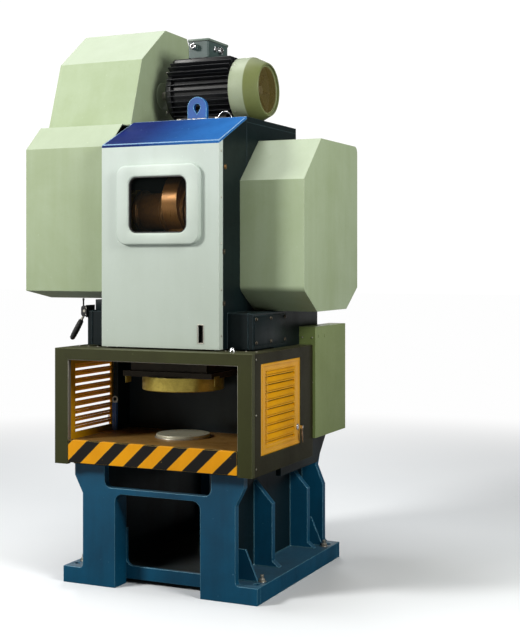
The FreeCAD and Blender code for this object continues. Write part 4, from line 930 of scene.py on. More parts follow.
@dataclass
class Assembly:
    """A part of the press whose nodes are dressed and whose small pieces are made."""

    shop: Paintshop

    def palette(self) -> dict[str, str]:
        """Name the finish of each node."""
        return {}

    def dress(self) -> None:
        """Give each of the assembly's nodes its finish."""
        for node, finish in self.palette().items():
            self.shop.dress(node, finish)

    def put(self, name: str, shape: Shape, finish: str, slot: str = "",
            body: str = "root", instead: tuple[str, ...] = (),
            smooth: float = 32.0) -> bpy.types.Object:
        """Turn a shape into a finished piece that moves with a body.

        Args:
            name: The piece's name.
            shape: Its shape.
            finish: The name of its finish.
            slot: The record's slot that it stands for, by default the finish's own name; not
                used.
            body: The body that it moves with.
            instead: Nodes that it stands for.
            smooth: Edges that turn less than this many degrees are shaded smooth.

        Returns:
            The piece.
        """
        slot = slot or finish
        bmesh.ops.remove_doubles(shape.mesh, verts=shape.mesh.verts, dist=1e-6)
        bmesh.ops.recalc_face_normals(shape.mesh, faces=shape.mesh.faces)
        mesh = bpy.data.meshes.new(name)
        shape.mesh.to_mesh(mesh)
        shape.mesh.free()
        mesh.materials.append(self.shop.made[finish])
        mesh.shade_smooth()
        mesh.set_sharp_from_angle(angle=math.radians(smooth))
        piece = bpy.data.objects.new(name, mesh)
        bpy.context.scene.collection.objects.link(piece)
        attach(piece, body)
        if instead:
            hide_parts(*instead)
        log.info("%s: %d faces on %s", name, len(mesh.polygons), body)
        return piece


def islands(node: str) -> list[tuple[Vector, Vector]]:
    """Give the boxes of a node's separate solids.

    Args:
        node: The node's name.

    Returns:
        The lowest and highest corner of each, from left to right and front to back.
    """
    work = bmesh.new()
    work.from_mesh(NODES[node].data)
    bmesh.ops.remove_doubles(work, verts=work.verts, dist=1e-5)
    left, boxes = set(work.verts), []
    while left:
        queue = [left.pop()]
        group = list(queue)
        while queue:
            for edge in queue.pop().link_edges:
                for vert in edge.verts:
                    if vert in left:
                        left.remove(vert)
                        queue.append(vert)
                        group.append(vert)
        boxes.append((Vector(map(min, *(v.co for v in group))),
                      Vector(map(max, *(v.co for v in group)))))
    work.free()
    return sorted(boxes, key=lambda box: (round(box[0].x, 3), round(box[0].y, 3)))


def spread(first: float, last: float, count: int) -> list[float]:
    """Give places evenly spread from the first to the last."""
    return [first + (last - first) * turn / (count - 1) for turn in range(count)]


@dataclass
class Base(Assembly):
    """The welded base: legs, walls, ribs, gussets and foot rails."""

    weld: float = 0.005
    jack_size: float = 0.02
    jack_inset: float = 0.04
    weld_setback: float = 0.15

    def palette(self) -> dict[str, str]:
        """Name the finish of each node."""
        outside = ("base_front_plate", "base_rear_plate", "base_tie_plate", "foot_rails",
                   "corner_gussets", "base_ribs")
        # The side walls take a darker copy of the frame's enamel as painted shade.
        sides = ("base_side_wall_left", "base_side_wall_right")
        return (dict.fromkeys(outside, "frame_paint")
                | dict.fromkeys(sides, "frame_side_paint")
                | {"base_floor_plate": "inner_paint"})

    def welds(self) -> None:
        """Lay the fillet welds between ribs, gussets, walls and rails."""
        beads = Shape()
        rail_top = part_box("foot_rails")[1].z
        for low, high in islands("base_ribs") + islands("corner_gussets"):
            side = 1 if low.x > 0 else -1
            wall = low.x if side > 0 else high.x
            foot = high.x if side > 0 else low.x
            for y in (low.y, high.y):
                beads.join(bead((wall, y, rail_top), (wall, y, high.z - 0.01), self.weld))
                beads.join(bead((wall, y, rail_top), (foot, y, rail_top), self.weld))
        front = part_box("base_front_plate")
        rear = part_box("base_rear_plate")
        plate_back = islands("foot_rails")[0][0].y
        for low, high in (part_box("base_side_wall_left"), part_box("base_side_wall_right")):
            outer = max(low.x, high.x, key=abs)
            for y in (plate_back, rear[0].y):
                beads.join(bead((outer, y, rail_top), (outer, y, high.z - 0.12), self.weld))
            beads.join(bead((outer, front[0].y + self.weld_setback, rail_top),
                            (outer, rear[0].y - 0.01, rail_top), self.weld))
        self.put("base_welds", beads, "weld_bead", "frame_paint")

    def jack_bolts(self) -> None:
        """Stand the levelling bolts on the rails, beside the anchor holes."""
        bolts = Shape()
        bolt = hex_bolt(self.jack_size).join(
            turned([(0, 0), (0.5 * self.jack_size, 0), (0.5 * self.jack_size, 0.034),
                    (0.4 * self.jack_size, 0.037), (0, 0.037)], 20))
        for low, high in islands("foot_rails"):
            middle = min(low.x, high.x, key=abs)
            outer = max(low.x, high.x, key=abs)
            x = outer - math.copysign(self.jack_inset, outer)
            inner = middle + math.copysign(self.jack_inset, middle)
            for y in (low.y + self.jack_inset * 2.6, high.y - self.jack_inset * 2.6):
                bolts.join(bolt, facing((x, y, high.z), roll=y * 90))
                bolts.join(bolt, facing((inner, y, high.z), roll=x * 70))
        self.put("levelling_bolts", bolts, "bare_steel")

    def build(self) -> None:
        """Make the base's pieces."""
        self.welds()
        self.jack_bolts()


@dataclass
class Bed(Assembly):
    """The bolster with its die seat, the hazard bar and the safety block."""

    screw: float = 0.01

    def palette(self) -> dict[str, str]:
        """Name the finish of each node."""
        return {"bed_block": "inner_paint", "bolster_plate": "bed_steel",
                "bed_disc": "disc_steel", "hazard_bar": "hazard_paint",
                "safety_block": "block_paint"}

    def disc_rings(self) -> None:
        """Turn the locating ring and the centre plug of the die seat."""
        low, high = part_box("bed_disc")
        middle = (low + high) / 2
        rings = Shape()
        radius = (high.x - low.x) / 2
        rings.join(turned([(radius + 0.0005, 0), (radius + 0.009, 0),
                           (radius + 0.009, 0.004), (radius + 0.006, 0.007),
                           (radius + 0.0005, 0.007)], 72, closed=True),
                   facing((middle.x, middle.y, low.z)))
        self.put("die_seat_collar", rings, "bare_steel")
        screws = Shape()
        for turn in range(6):
            angle = math.tau * turn / 6 + 0.3
            place = (middle.x + radius * 0.82 * math.cos(angle),
                     middle.y + radius * 0.82 * math.sin(angle), high.z - 0.004)
            screws.join(socket_screw(self.screw * 0.6), facing(place))
        self.put("die_seat_screws", screws, "oiled_steel")

    def bar_screws(self) -> None:
        """Fix the hazard bar with countersunk screws near its lower edge."""
        low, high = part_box("hazard_bar")
        screws = Shape()
        for x in spread(low.x + 0.03, high.x - 0.03, 5):
            screws.join(turned([(0, 0), (0.007, 0), (0.006, 0.0012), (0.0035, 0.0012),
                                (0.003, 0.0002), (0, 0.0002)], 20),
                        facing((x, low.y + 0.0013, low.z + 0.016), Way.FRONT))
        self.put("hazard_bar_screws", screws, "oiled_steel")

    def build(self) -> None:
        """Make the bed's pieces."""
        self.disc_rings()
        self.bar_screws()


@dataclass
class Body(Assembly):
    """The C-frame plates, the throat, the shoulders and the access panel."""

    panel_thick: float = 0.004
    panel_margin: float = 0.012
    panel_bolt: float = 0.009
    bolt_inset: float = 0.018
    left_setback: float = 0.16
    frame_bolt: float = 0.02
    bolt_rises: tuple[float, ...] = (0.12, 0.3, 0.48)

    def palette(self) -> dict[str, str]:
        """Name the finish of each node."""
        return {"c_frame_left": "head_paint", "c_frame_right": "head_paint",
                "throat_plate": "inner_paint", "shoulder_plates": "head_paint"}

    def access_panels(self) -> None:
        """Bolt an access panel on the shoulder of each frame plate."""
        panels, bolts = Shape(), Shape()
        low_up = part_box("enclosure_top")[1].z + self.panel_margin * 2
        for node, way in (("c_frame_right", Way.RIGHT), ("c_frame_left", Way.LEFT)):
            low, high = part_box(node)
            side = way.value[0]
            face = high.x if side > 0 else low.x
            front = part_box("shoulder_plates")[0].y + self.panel_margin
            if side < 0:
                front += self.left_setback
            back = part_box("throat_plate")[1].y
            top = high.z - self.panel_margin
            near, far = sorted((face, face + side * self.panel_thick))
            panels.join(block((near, front, low_up), (far, back, top), 0.0012))
            inset = self.bolt_inset
            for y in spread(front + inset, back - inset, 3):
                for up in (low_up + inset, top - inset):
                    bolts.join(hex_bolt(self.panel_bolt),
                               facing((face + side * self.panel_thick, y, up), way,
                                      roll=y * 300))
        self.put("access_panels", panels, "head_paint")
        self.put("access_panel_bolts", bolts, "cast_iron")

    def frame_bolts(self) -> None:
        """Bolt the frame plates to the base's bed block."""
        bolts = Shape()
        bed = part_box("bed_block")
        for node, way in (("c_frame_right", Way.RIGHT), ("c_frame_left", Way.LEFT)):
            low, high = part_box(node)
            face = high.x if way is Way.RIGHT else low.x
            for y in spread(bed[1].y - 0.02, bed[1].y + 0.08, 2):
                if y >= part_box("side_cabinet")[0].y and way is Way.RIGHT:
                    continue
                for rise in self.bolt_rises:
                    up = bed[0].z + rise
                    bolts.join(hex_bolt(self.frame_bolt),
                               facing((face, y, up), way, roll=up * 200))
        self.put("frame_bolts", bolts, "cast_iron")

    def shoulder_welds(self) -> None:
        """Weld the shoulder plates to the head and to the frame plates."""
        beads = Shape()
        for low, high in islands("shoulder_plates"):
            for x in (low.x, high.x):
                beads.join(bead((x, low.y, high.z), (x, high.y, high.z), 0.005))
                beads.join(bead((x, low.y, low.z), (x, low.y, high.z), 0.004))
        self.put("shoulder_welds", beads, "head_paint")

    def guard_brackets(self) -> None:
        """Stand the brackets that carry the side guards on the shoulders."""
        brackets = Shape()
        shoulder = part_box("shoulder_plates")
        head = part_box("head_side_left")[0].x
        frame_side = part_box("c_frame_left")[1].x
        for node, side in (("wheel_guard", -1), ("drum_guard", 1)):
            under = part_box(node)[0].z
            near, far = sorted((side * abs(head), side * abs(frame_side)))
            front = max(shoulder[0].y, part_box(node)[0].y) + 0.03
            brackets.join(block((near, front, shoulder[1].z),
                                (far, shoulder[1].y - 0.03, under), 0.003))
        self.put("guard_brackets", brackets, "head_paint")

    def build(self) -> None:
        """Make the frame's pieces."""
        self.guard_brackets()
        self.access_panels()
        self.frame_bolts()
        self.shoulder_welds()


@dataclass
class Head(Assembly):
    """The head with its roof, front cover, window and lifting lug."""

    rim_round: float = 0.058
    pane_round: float = 0.045
    rim_bevel: float = 0.009
    seal: float = 0.006
    screw: float = 0.006
    pane_lap: float = 0.0095
    gauge_sides: tuple[float, float] = (0.233, 0.263)
    gauge_rises: tuple[float, float] = (0.033, 0.126)
    clip_rises: tuple[float, float] = (0.51, 0.24)
    plug_drop: float = 0.14
    clip_out: float = 0.008

    def palette(self) -> dict[str, str]:
        """Name the finish of each node."""
        return {"head_side_left": "head_paint", "head_side_right": "head_paint",
                "head_back_plate": "head_paint", "head_top_plate": "head_paint",
                "head_roof": "roof_paint", "front_cover": "cover_paint",
                "lifting_lug": "lug_paint", "window_pane": "pane_glass"}

    def window(self) -> None:
        """Make the window's raised surround and the rubber seal round the pane."""
        low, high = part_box("window_frame")
        pane_low, pane_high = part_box("window_pane")
        middle = (low + high) / 2
        half_wide, half_high = (high.x - low.x) / 2, (high.z - low.z) / 2
        see_wide = (pane_high.x - pane_low.x) / 2 - self.pane_lap
        see_high = (pane_high.z - pane_low.z) / 2 - self.pane_lap
        surround = Shape()
        ring = band(rounded_rectangle(half_wide, half_high, self.rim_round, 12),
                    rounded_rectangle(see_wide, see_high, self.pane_round, 12),
                    high.y - low.y)
        front_edges = [e for e in ring.creases(50)
                       if all(v.co.z > (high.y - low.y) * 0.5 for v in e.verts)]
        ring.soften(front_edges, self.rim_bevel, 4)
        place = facing((middle.x, high.y, middle.z), Way.FRONT)
        surround.join(ring, place)
        self.put("window_surround", surround, "cover_paint", "cover_paint",
                 instead=("window_frame",), smooth=40)
        seal = Shape()
        rubber = band(rounded_rectangle(see_wide, see_high, self.pane_round, 12),
                      rounded_rectangle(see_wide - self.seal, see_high - self.seal,
                                        self.pane_round - self.seal, 12),
                      (high.y - low.y) * 0.72, 0.0015, 2)
        seal.join(rubber, facing((middle.x, high.y, middle.z), Way.FRONT))
        self.put("window_seal", seal, "gasket_rubber")

    def gauge(self) -> None:
        """Rim the gauge slot in pale steel, a painted highlight round its edges, and set its
        scale behind it in black, which also paints the shade inside the slot.
        """
        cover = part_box("front_cover")
        left, right = self.gauge_sides
        low, high = (cover[0].z + rise for rise in self.gauge_rises)
        half_wide, half_high = (right - left) / 2, (high - low) / 2
        middle = ((left + right) / 2, cover[0].y, (low + high) / 2)
        # Pale steel rim: a painted highlight round the slot's edges.
        rim = band(rounded_rectangle(half_wide + 0.004, half_high + 0.004, 0.004, 4),
                   rounded_rectangle(half_wide - 0.0005, half_high - 0.0005, 0.001, 4),
                   0.003, 0.0008, 2)
        self.put("gauge_rim_highlight", Shape().join(rim, facing(middle, Way.FRONT)), "bare_steel")
        # The black scale plate also paints the shade inside the slot.
        scale = Shape()
        back = cover[0].y + 0.03
        scale.join(block((left - 0.01, back, low - 0.01),
                         (right + 0.01, back + 0.003, high + 0.01), 0.0006))
        self.put("gauge_scale_shadow", scale, "gasket_rubber")
        ticks = Shape()
        for count, up in enumerate(spread(low + 0.006, high - 0.006, 17)):
            long = 0.012 if count % 4 == 0 else 0.007
            ticks.join(block((left + 0.002, back - 0.0006, up - 0.0004),
                             (left + 0.002 + long, back, up + 0.0004)))
        self.put("gauge_ticks", ticks, "bare_steel")

    def cover_fixings(self) -> None:
        """Screw the cover's returns to the head and mark the seam between their plates."""
        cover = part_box("front_cover")
        screws = Shape()
        seams = Shape()
        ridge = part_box("head_top_plate")[0].y
        for node, way in (("head_side_right", Way.RIGHT), ("head_side_left", Way.LEFT)):
            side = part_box(node)
            face = side[1].x if way is Way.RIGHT else side[0].x
            y = cover[0].y + 0.026
            for up in spread(cover[0].z + 0.07, cover[1].z - 0.06, 5):
                screws.join(pan_screw(self.screw),
                            facing((face, y, up), way, roll=up * 400))
            out = face + way.value[0] * 0.0012
            near, far = sorted((face - way.value[0] * 0.001, out))
            seams.join(block((near, ridge - 0.0018, side[0].z),
                             (far, ridge + 0.0018, side[1].z - 0.02), 0.0006))
        self.put("cover_side_screws", screws, "bare_steel")
        self.put("head_seams", seams, "inner_paint", "head_paint")

    def side_fittings(self) -> None:
        """Fit the plugs and the cover's clips on the head's sides."""
        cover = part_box("front_cover")
        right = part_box("head_side_right")[1].x
        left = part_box("head_side_left")[0].x
        gasket = cover[1].y
        plug = turned([(0, 0), (0.013, 0), (0.013, 0.003), (0.010, 0.006), (0.004, 0.0065),
                       (0, 0.0065)], 28)
        plugs, clips = Shape(), Shape()
        for face, way in ((right, Way.RIGHT), (left, Way.LEFT)):
            out = way.value[0]
            plugs.join(plug,
                       facing((face, gasket + 0.025, cover[1].z - self.plug_drop), way))
            near, far = sorted((face, face + out * self.clip_out))
            for rise in self.clip_rises:
                up = cover[0].z + rise
                clips.join(block((near, gasket - 0.004, up - 0.012),
                                 (far, gasket + 0.016, up + 0.012), 0.002))
                clips.join(pan_screw(0.004),
                           facing((face + out * self.clip_out, gasket + 0.006, up), way))
        self.put("head_plugs", plugs, "oiled_steel")
        self.put("cover_clips", clips, "cast_iron")

    def roof_edges(self) -> None:
        """Run the rubbed, paler folds along the roof's lower and sloping edges; their pale blue
        is painted highlight along the edges as well as rubbed paint.
        """
        low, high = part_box("head_roof")
        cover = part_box("front_cover")
        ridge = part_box("head_top_plate")[0].y
        folds = Shape()
        left, right = low.x + 0.003, high.x - 0.003
        foot = (cover[0].y + 0.004, cover[1].z - 0.006)
        fold = foot[0] - 0.0005
        folds.join(bead((left, fold, foot[1]), (right, fold, foot[1]), 0.0035))
        for x in (left, right):
            folds.join(bead((x, foot[0], foot[1]), (x, ridge, high.z - 0.003), 0.0028))
        crest = high.z - 0.002
        folds.join(bead((left, ridge, crest), (right, ridge, crest), 0.0022))
        self.put("roof_folds", folds, "rubbed_and_highlit_fold", "roof_paint")

    def lug_fixings(self) -> None:
        """Weld the lug to the roof and set the lifting handle beside it."""
        low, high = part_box("lifting_lug")
        beads = Shape()
        for y in (low.y, high.y):
            for start, end in zip(spread(low.x, high.x - 0.03, 4),
                                  spread(low.x + 0.022, high.x, 4)):
                beads.join(bead((start, y, low.z + 0.001), (end, y, low.z + 0.001), 0.0045))
        self.put("lug_welds", beads, "bare_steel")
        arch = [(high.x + 0.10 + 0.042 * math.cos(a), low.y + 0.03,
                 low.z - 0.002 + 0.04 * math.sin(a)) for a in spread(math.pi, 0, 13)]
        self.put("roof_handle", pipe(arch, 0.0034), "bright_chrome")

    def rear_hatch(self) -> None:
        """Hang the bolted hatch on the back of the head."""
        low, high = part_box("head_back_plate")
        half_wide, half_high = (high.x - low.x) * 0.36, (high.z - low.z) * 0.3
        middle = ((low.x + high.x) / 2, high.y, (low.z + high.z) / 2)
        plate = slab(rounded_rectangle(half_wide, half_high, 0.02, 5), 0.006, 0.0015)
        self.put("rear_hatch", Shape().join(plate, facing(middle, Way.BACK)), "head_paint")
        gasket = slab(rounded_rectangle(half_wide + 0.003, half_high + 0.003, 0.023, 5),
                      0.002)
        self.put("rear_hatch_gasket", Shape().join(gasket, facing(middle, Way.BACK)),
                 "gasket_rubber")
        bolts = Shape()
        for x in spread(-half_wide + 0.022, half_wide - 0.022, 4):
            for up in spread(-half_high + 0.022, half_high - 0.022, 5):
                if abs(x) > half_wide - 0.03 or abs(up) > half_high - 0.03:
                    bolts.join(hex_bolt(0.01), facing((middle[0] + x, high.y + 0.006,
                                                       middle[2] + up), Way.BACK, x * 900))
        self.put("rear_hatch_bolts", bolts, "bare_steel")
        handles = Shape()
        for x in (-half_wide * 0.62, half_wide * 0.62):
            y, z = high.y + 0.006, middle[2]
            handles.join(pipe([(x, y - 0.004, z - 0.05), (x, y + 0.03, z - 0.05),
                               (x, y + 0.036, z - 0.02), (x, y + 0.036, z + 0.02),
                               (x, y + 0.03, z + 0.05), (x, y - 0.004, z + 0.05)], 0.005))
        self.put("rear_hatch_handles", handles, "lever_black")

    def build(self) -> None:
        """Make the head's pieces."""
        self.window()
        self.gauge()
        self.cover_fixings()
        self.side_fittings()
        self.roof_edges()
        self.lug_fixings()
        self.rear_hatch()


@dataclass
class Guards(Assembly):
    """The folded sheet guards over the flywheel, the belts and the drum."""

    screw: float = 0.006
    screw_lift: float = 0.03
    screw_drop: float = 0.06
    drum_lift: float = 0.2
    belt_drop: float = 0.16
    vent_rows: int = 7
    vent_rise: float = 0.3
    vent_pitch: float = 0.034
    vent_long: float = 0.13
    vent_columns: tuple[float, ...] = (-0.12, 0.06, 0.24)

    def palette(self) -> dict[str, str]:
        """Name the finish of each node."""
        return dict.fromkeys(("wheel_guard", "belt_guard", "drum_guard"), "guard_paint")

    def joint(self) -> None:
        """Lay the rubber strip between the belt guard and the flywheel guard."""
        low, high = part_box("belt_guard")
        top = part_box("wheel_guard")[1].z
        strip = Shape()
        thin = 0.0025
        ends = ((low.x + 0.002, low.y - thin, high.x, low.y),
                (high.x - 0.001, low.y, high.x + thin, high.y),
                (low.x + 0.002, high.y, high.x, high.y + thin))
        for left, front, right, back in ends:
            strip.join(block((left, front, top), (right, back, top + 0.006), 0.0008))
        self.put("guard_joint", strip, "gasket_rubber")

    def rear_screws(self) -> None:
        """Screw the guards' back walls along their edges."""
        screws = Shape()
        for node in ("wheel_guard", "belt_guard", "drum_guard"):
            low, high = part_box(node)
            lift = self.drum_lift if node == "drum_guard" else self.screw_lift
            top = high.z - (self.belt_drop if node == "belt_guard" else self.screw_drop)
            for x in (low.x + 0.03, high.x - 0.03):
                for up in spread(low.z + lift, top, 5):
                    screws.join(pan_screw(self.screw),
                                facing((x, high.y, up), Way.BACK, roll=up * 500))
        self.put("guard_rear_screws", screws, "bare_steel")

    def vents(self) -> None:
        """Press the vent louvres in the flywheel guard's outer wall, with a black strip under
        each hood as painted shade in its slot.
        """
        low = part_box("wheel_guard")[0]
        hoods, slot_shadows = Shape(), Shape()
        long = self.vent_long
        for row in range(self.vent_rows):
            up = low.z + self.vent_rise + row * self.vent_pitch
            for y in self.vent_columns:
                lip = block((0, -long / 2, -0.006), (0.005, long / 2, 0.006), 0.0042, 3)
                hoods.join(lip, Matrix.Translation((low.x - 0.0045, y, up)))
                # Black strips under the hoods: painted shade where the slots open.
                slot_shadows.join(block((low.x - 0.003, y - long / 2 + 0.006, up - 0.0085),
                                 (low.x + 0.0005, y + long / 2 - 0.006, up - 0.006)))
        self.put("guard_vent_hoods", hoods, "guard_paint")
        self.put("guard_vent_slot_shadows", slot_shadows, "gasket_rubber")

    def inspection_cover(self) -> None:
        """Screw the round inspection cover on the flywheel guard's outer wall."""
        low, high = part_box("wheel_guard")
        middle = (low.x, (low.y + high.y) / 2, high.z - 0.27)
        lid = turned([(0, 0), (0.11, 0), (0.11, 0.002), (0.107, 0.004), (0.05, 0.0055),
                      (0, 0.0055)], 56)
        self.put("inspection_lid", Shape().join(lid, facing(middle, Way.LEFT)),
                 "guard_paint")
        screws = Shape()
        for turn in range(6):
            angle = math.tau * turn / 6
            place = (low.x - 0.0035, middle[1] + 0.095 * math.cos(angle),
                     middle[2] + 0.095 * math.sin(angle))
            screws.join(pan_screw(0.005), facing(place, Way.LEFT, turn * 37))
        self.put("inspection_lid_screws", screws, "bare_steel")

    def build(self) -> None:
        """Make the guards' pieces."""
        self.joint()
        self.rear_screws()
        self.vents()
        self.inspection_cover()


@dataclass
class Enclosure(Assembly):
    """The box round the die space with its louvred doors and their locks."""

    louvres: int = 9
    blade_out: float = 0.0034
    key_ring: float = 0.013
    hinge_clear: float = 0.016
    pin: float = 0.014
    rim_wide: float = 0.016
    covers: ClassVar[dict[str, float]] = {"right": 0.026, "left": 0.016}

    def palette(self) -> dict[str, str]:
        """Name the finish of each node."""
        # The sides take the darker copy of the enclosure's enamel as painted shade.
        return (dict.fromkeys(("enclosure_front", "enclosure_top"), "enclosure_paint")
                | dict.fromkeys(("enclosure_side_left", "enclosure_side_right"),
                                "enclosure_side_paint")
                | {"side_door_left": "door_paint", "side_door_right": "door_paint",
                   "door_lock_left": "bright_chrome", "door_lock_right": "bright_chrome"})

    def door_trim(self, name: str, way: Way) -> None:
        """Raise the rim and the louvre lips on one door.

        Args:
            name: The side's name.
            way: The way the door faces outwards.
        """
        node, body = f"side_door_{name}", f"door_{name}"
        low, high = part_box(node)
        out = way.value[0]
        face = high.x if out > 0 else low.x
        low_up, high_up = low.z + self.pin, high.z - self.pin
        front, back = low.y + 0.006, high.y
        rim_front = front + self.hinge_clear
        middle = (face, (rim_front + back) / 2, (low_up + high_up) / 2)
        half_wide, half_high = (back - rim_front) / 2, (high_up - low_up) / 2
        edge = self.rim_wide
        rim = band(rounded_rectangle(half_wide, half_high, 0.004, 3),
                   rounded_rectangle(half_wide - edge, half_high - edge, 0.004, 3),
                   0.0016, 0.0007, 2)
        field_rim = band(rounded_rectangle(half_wide - 0.055, half_high - 0.034, 0.01, 4),
                         rounded_rectangle(half_wide - 0.062, half_high - 0.041, 0.007, 4),
                         0.0014, 0.0006, 2)
        trim = Shape().join(rim, facing(middle, way)).join(field_rim, facing(middle, way))
        self.put(f"door_rim_{name}", trim, "door_paint", "door_paint", body)
        blades = Shape()
        first, last = low_up + 0.048, high_up - 0.040
        pitch = (last - first) / self.louvres
        louvre_front, louvre_back = front + 0.0625, back - 0.0665
        depth, cover = 0.0125 + self.blade_out, self.covers[name]
        long = math.hypot(depth, cover)
        lean = math.atan2(cover, depth)
        for turn in range(self.louvres + 1):
            blade = block((-long / 2, louvre_front, -0.001), (long / 2, louvre_back, 0.001),
                          0.0009)
            middle_x = face + out * (self.blade_out - depth / 2)
            up = first + pitch * turn - 0.004
            blades.join(blade, Matrix.Translation((middle_x, 0, up))
                        @ Matrix.Rotation(out * lean, 4, "Y"))
        self.put(f"door_louvres_{name}", blades, "door_paint", "door_paint", body)
        plate = Shape()
        lock_low, lock_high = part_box(f"door_lock_{name}")
        lock_up, lock_back = low_up + 0.093, back - 0.03
        collar = turned([(0.0145, 0), (0.0175, 0), (0.0175, 0.0012), (0.0165, 0.0022),
                         (0.0145, 0.0022)], 32, closed=True)
        plate.join(collar, facing((face, lock_back, lock_up), way))
        self.put(f"lock_collar_{name}", plate, "bright_chrome", "bright_chrome", body)
        tip = (lock_high.x if out > 0 else lock_low.x) - out * 0.006
        ring = turned([(self.key_ring + 0.0014 * math.cos(a), 0.0014 * math.sin(a))
                       for a in (math.tau * turn / 10 for turn in range(10))], 28,
                      closed=True)
        keys = Shape()
        keys.join(ring, facing((tip, lock_back, lock_up - self.key_ring + 0.002),
                               (out, 0.25, 0)))
        hang = block((-0.0012, -0.008, -0.042), (0.0012, 0.008, 0.0), 0.0008)
        blade = block((-0.001, -0.0035, -0.066), (0.001, 0.0035, -0.04), 0.0005)
        hang.join(blade)
        key_top = lock_up - 2 * self.key_ring + 0.004
        keys.join(hang, Matrix.Translation((tip, lock_back, key_top))
                  @ Matrix.Rotation(math.radians(12), 4, "X"))
        self.put(f"key_ring_{name}", keys, "oiled_steel", "oiled_steel", f"lock_{name}")

    def fixings(self) -> None:
        """Screw the enclosure together along its top and its sides."""
        screws = Shape()
        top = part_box("enclosure_top")
        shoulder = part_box("shoulder_plates")[0].y
        for x in spread(0.30, 0.54, 5):
            for side in (-1, 1):
                screws.join(pan_screw(0.006), facing((side * x, shoulder - 0.03, top[1].z),
                                                     roll=x * 700))
        for node, way in (("enclosure_side_right", Way.RIGHT),
                          ("enclosure_side_left", Way.LEFT)):
            low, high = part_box(node)
            face = high.x if way is Way.RIGHT else low.x
            for up in (low.z + 0.04, (low.z + high.z) / 2, high.z - 0.03):
                screws.join(pan_screw(0.0055), facing((face, low.y + 0.02, up), way,
                                                      roll=up * 600))
        self.put("enclosure_screws", screws, "bare_steel")
        dome = turned([(0, 0), (0.022, 0), (0.022, 0.004), (0.015, 0.005), (0.014, 0.014),
                       (0.010, 0.020), (0.004, 0.023), (0, 0.0235)], 32)
        spot = facing((0.41, shoulder - 0.05, top[1].z))
        self.put("top_dome_bolt", Shape().join(dome, spot),
                 "bright_chrome")

    def edge_trim(self) -> None:
        """Run a trim of unpainted steel round the front opening."""
        low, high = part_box("enclosure_front")
        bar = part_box("hazard_bar")
        inner = bar[1].x + 0.005
        rail = high.z - 0.06
        trim = Shape()
        thick = 0.003
        front, foot = low.y + 0.003, bar[1].z
        for left, right, under in ((-inner, -inner + thick, foot),
                                   (inner - thick, inner, foot),
                                   (-inner, inner, rail - thick)):
            trim.join(block((left, front, under), (right, high.y, rail), 0.001))
        self.put("opening_trim", trim, "bare_steel", "enclosure_paint")

    def build(self) -> None:
        """Make the enclosure's pieces."""
        self.door_trim("right", Way.RIGHT)
        self.door_trim("left", Way.LEFT)
        self.fixings()
        self.edge_trim()


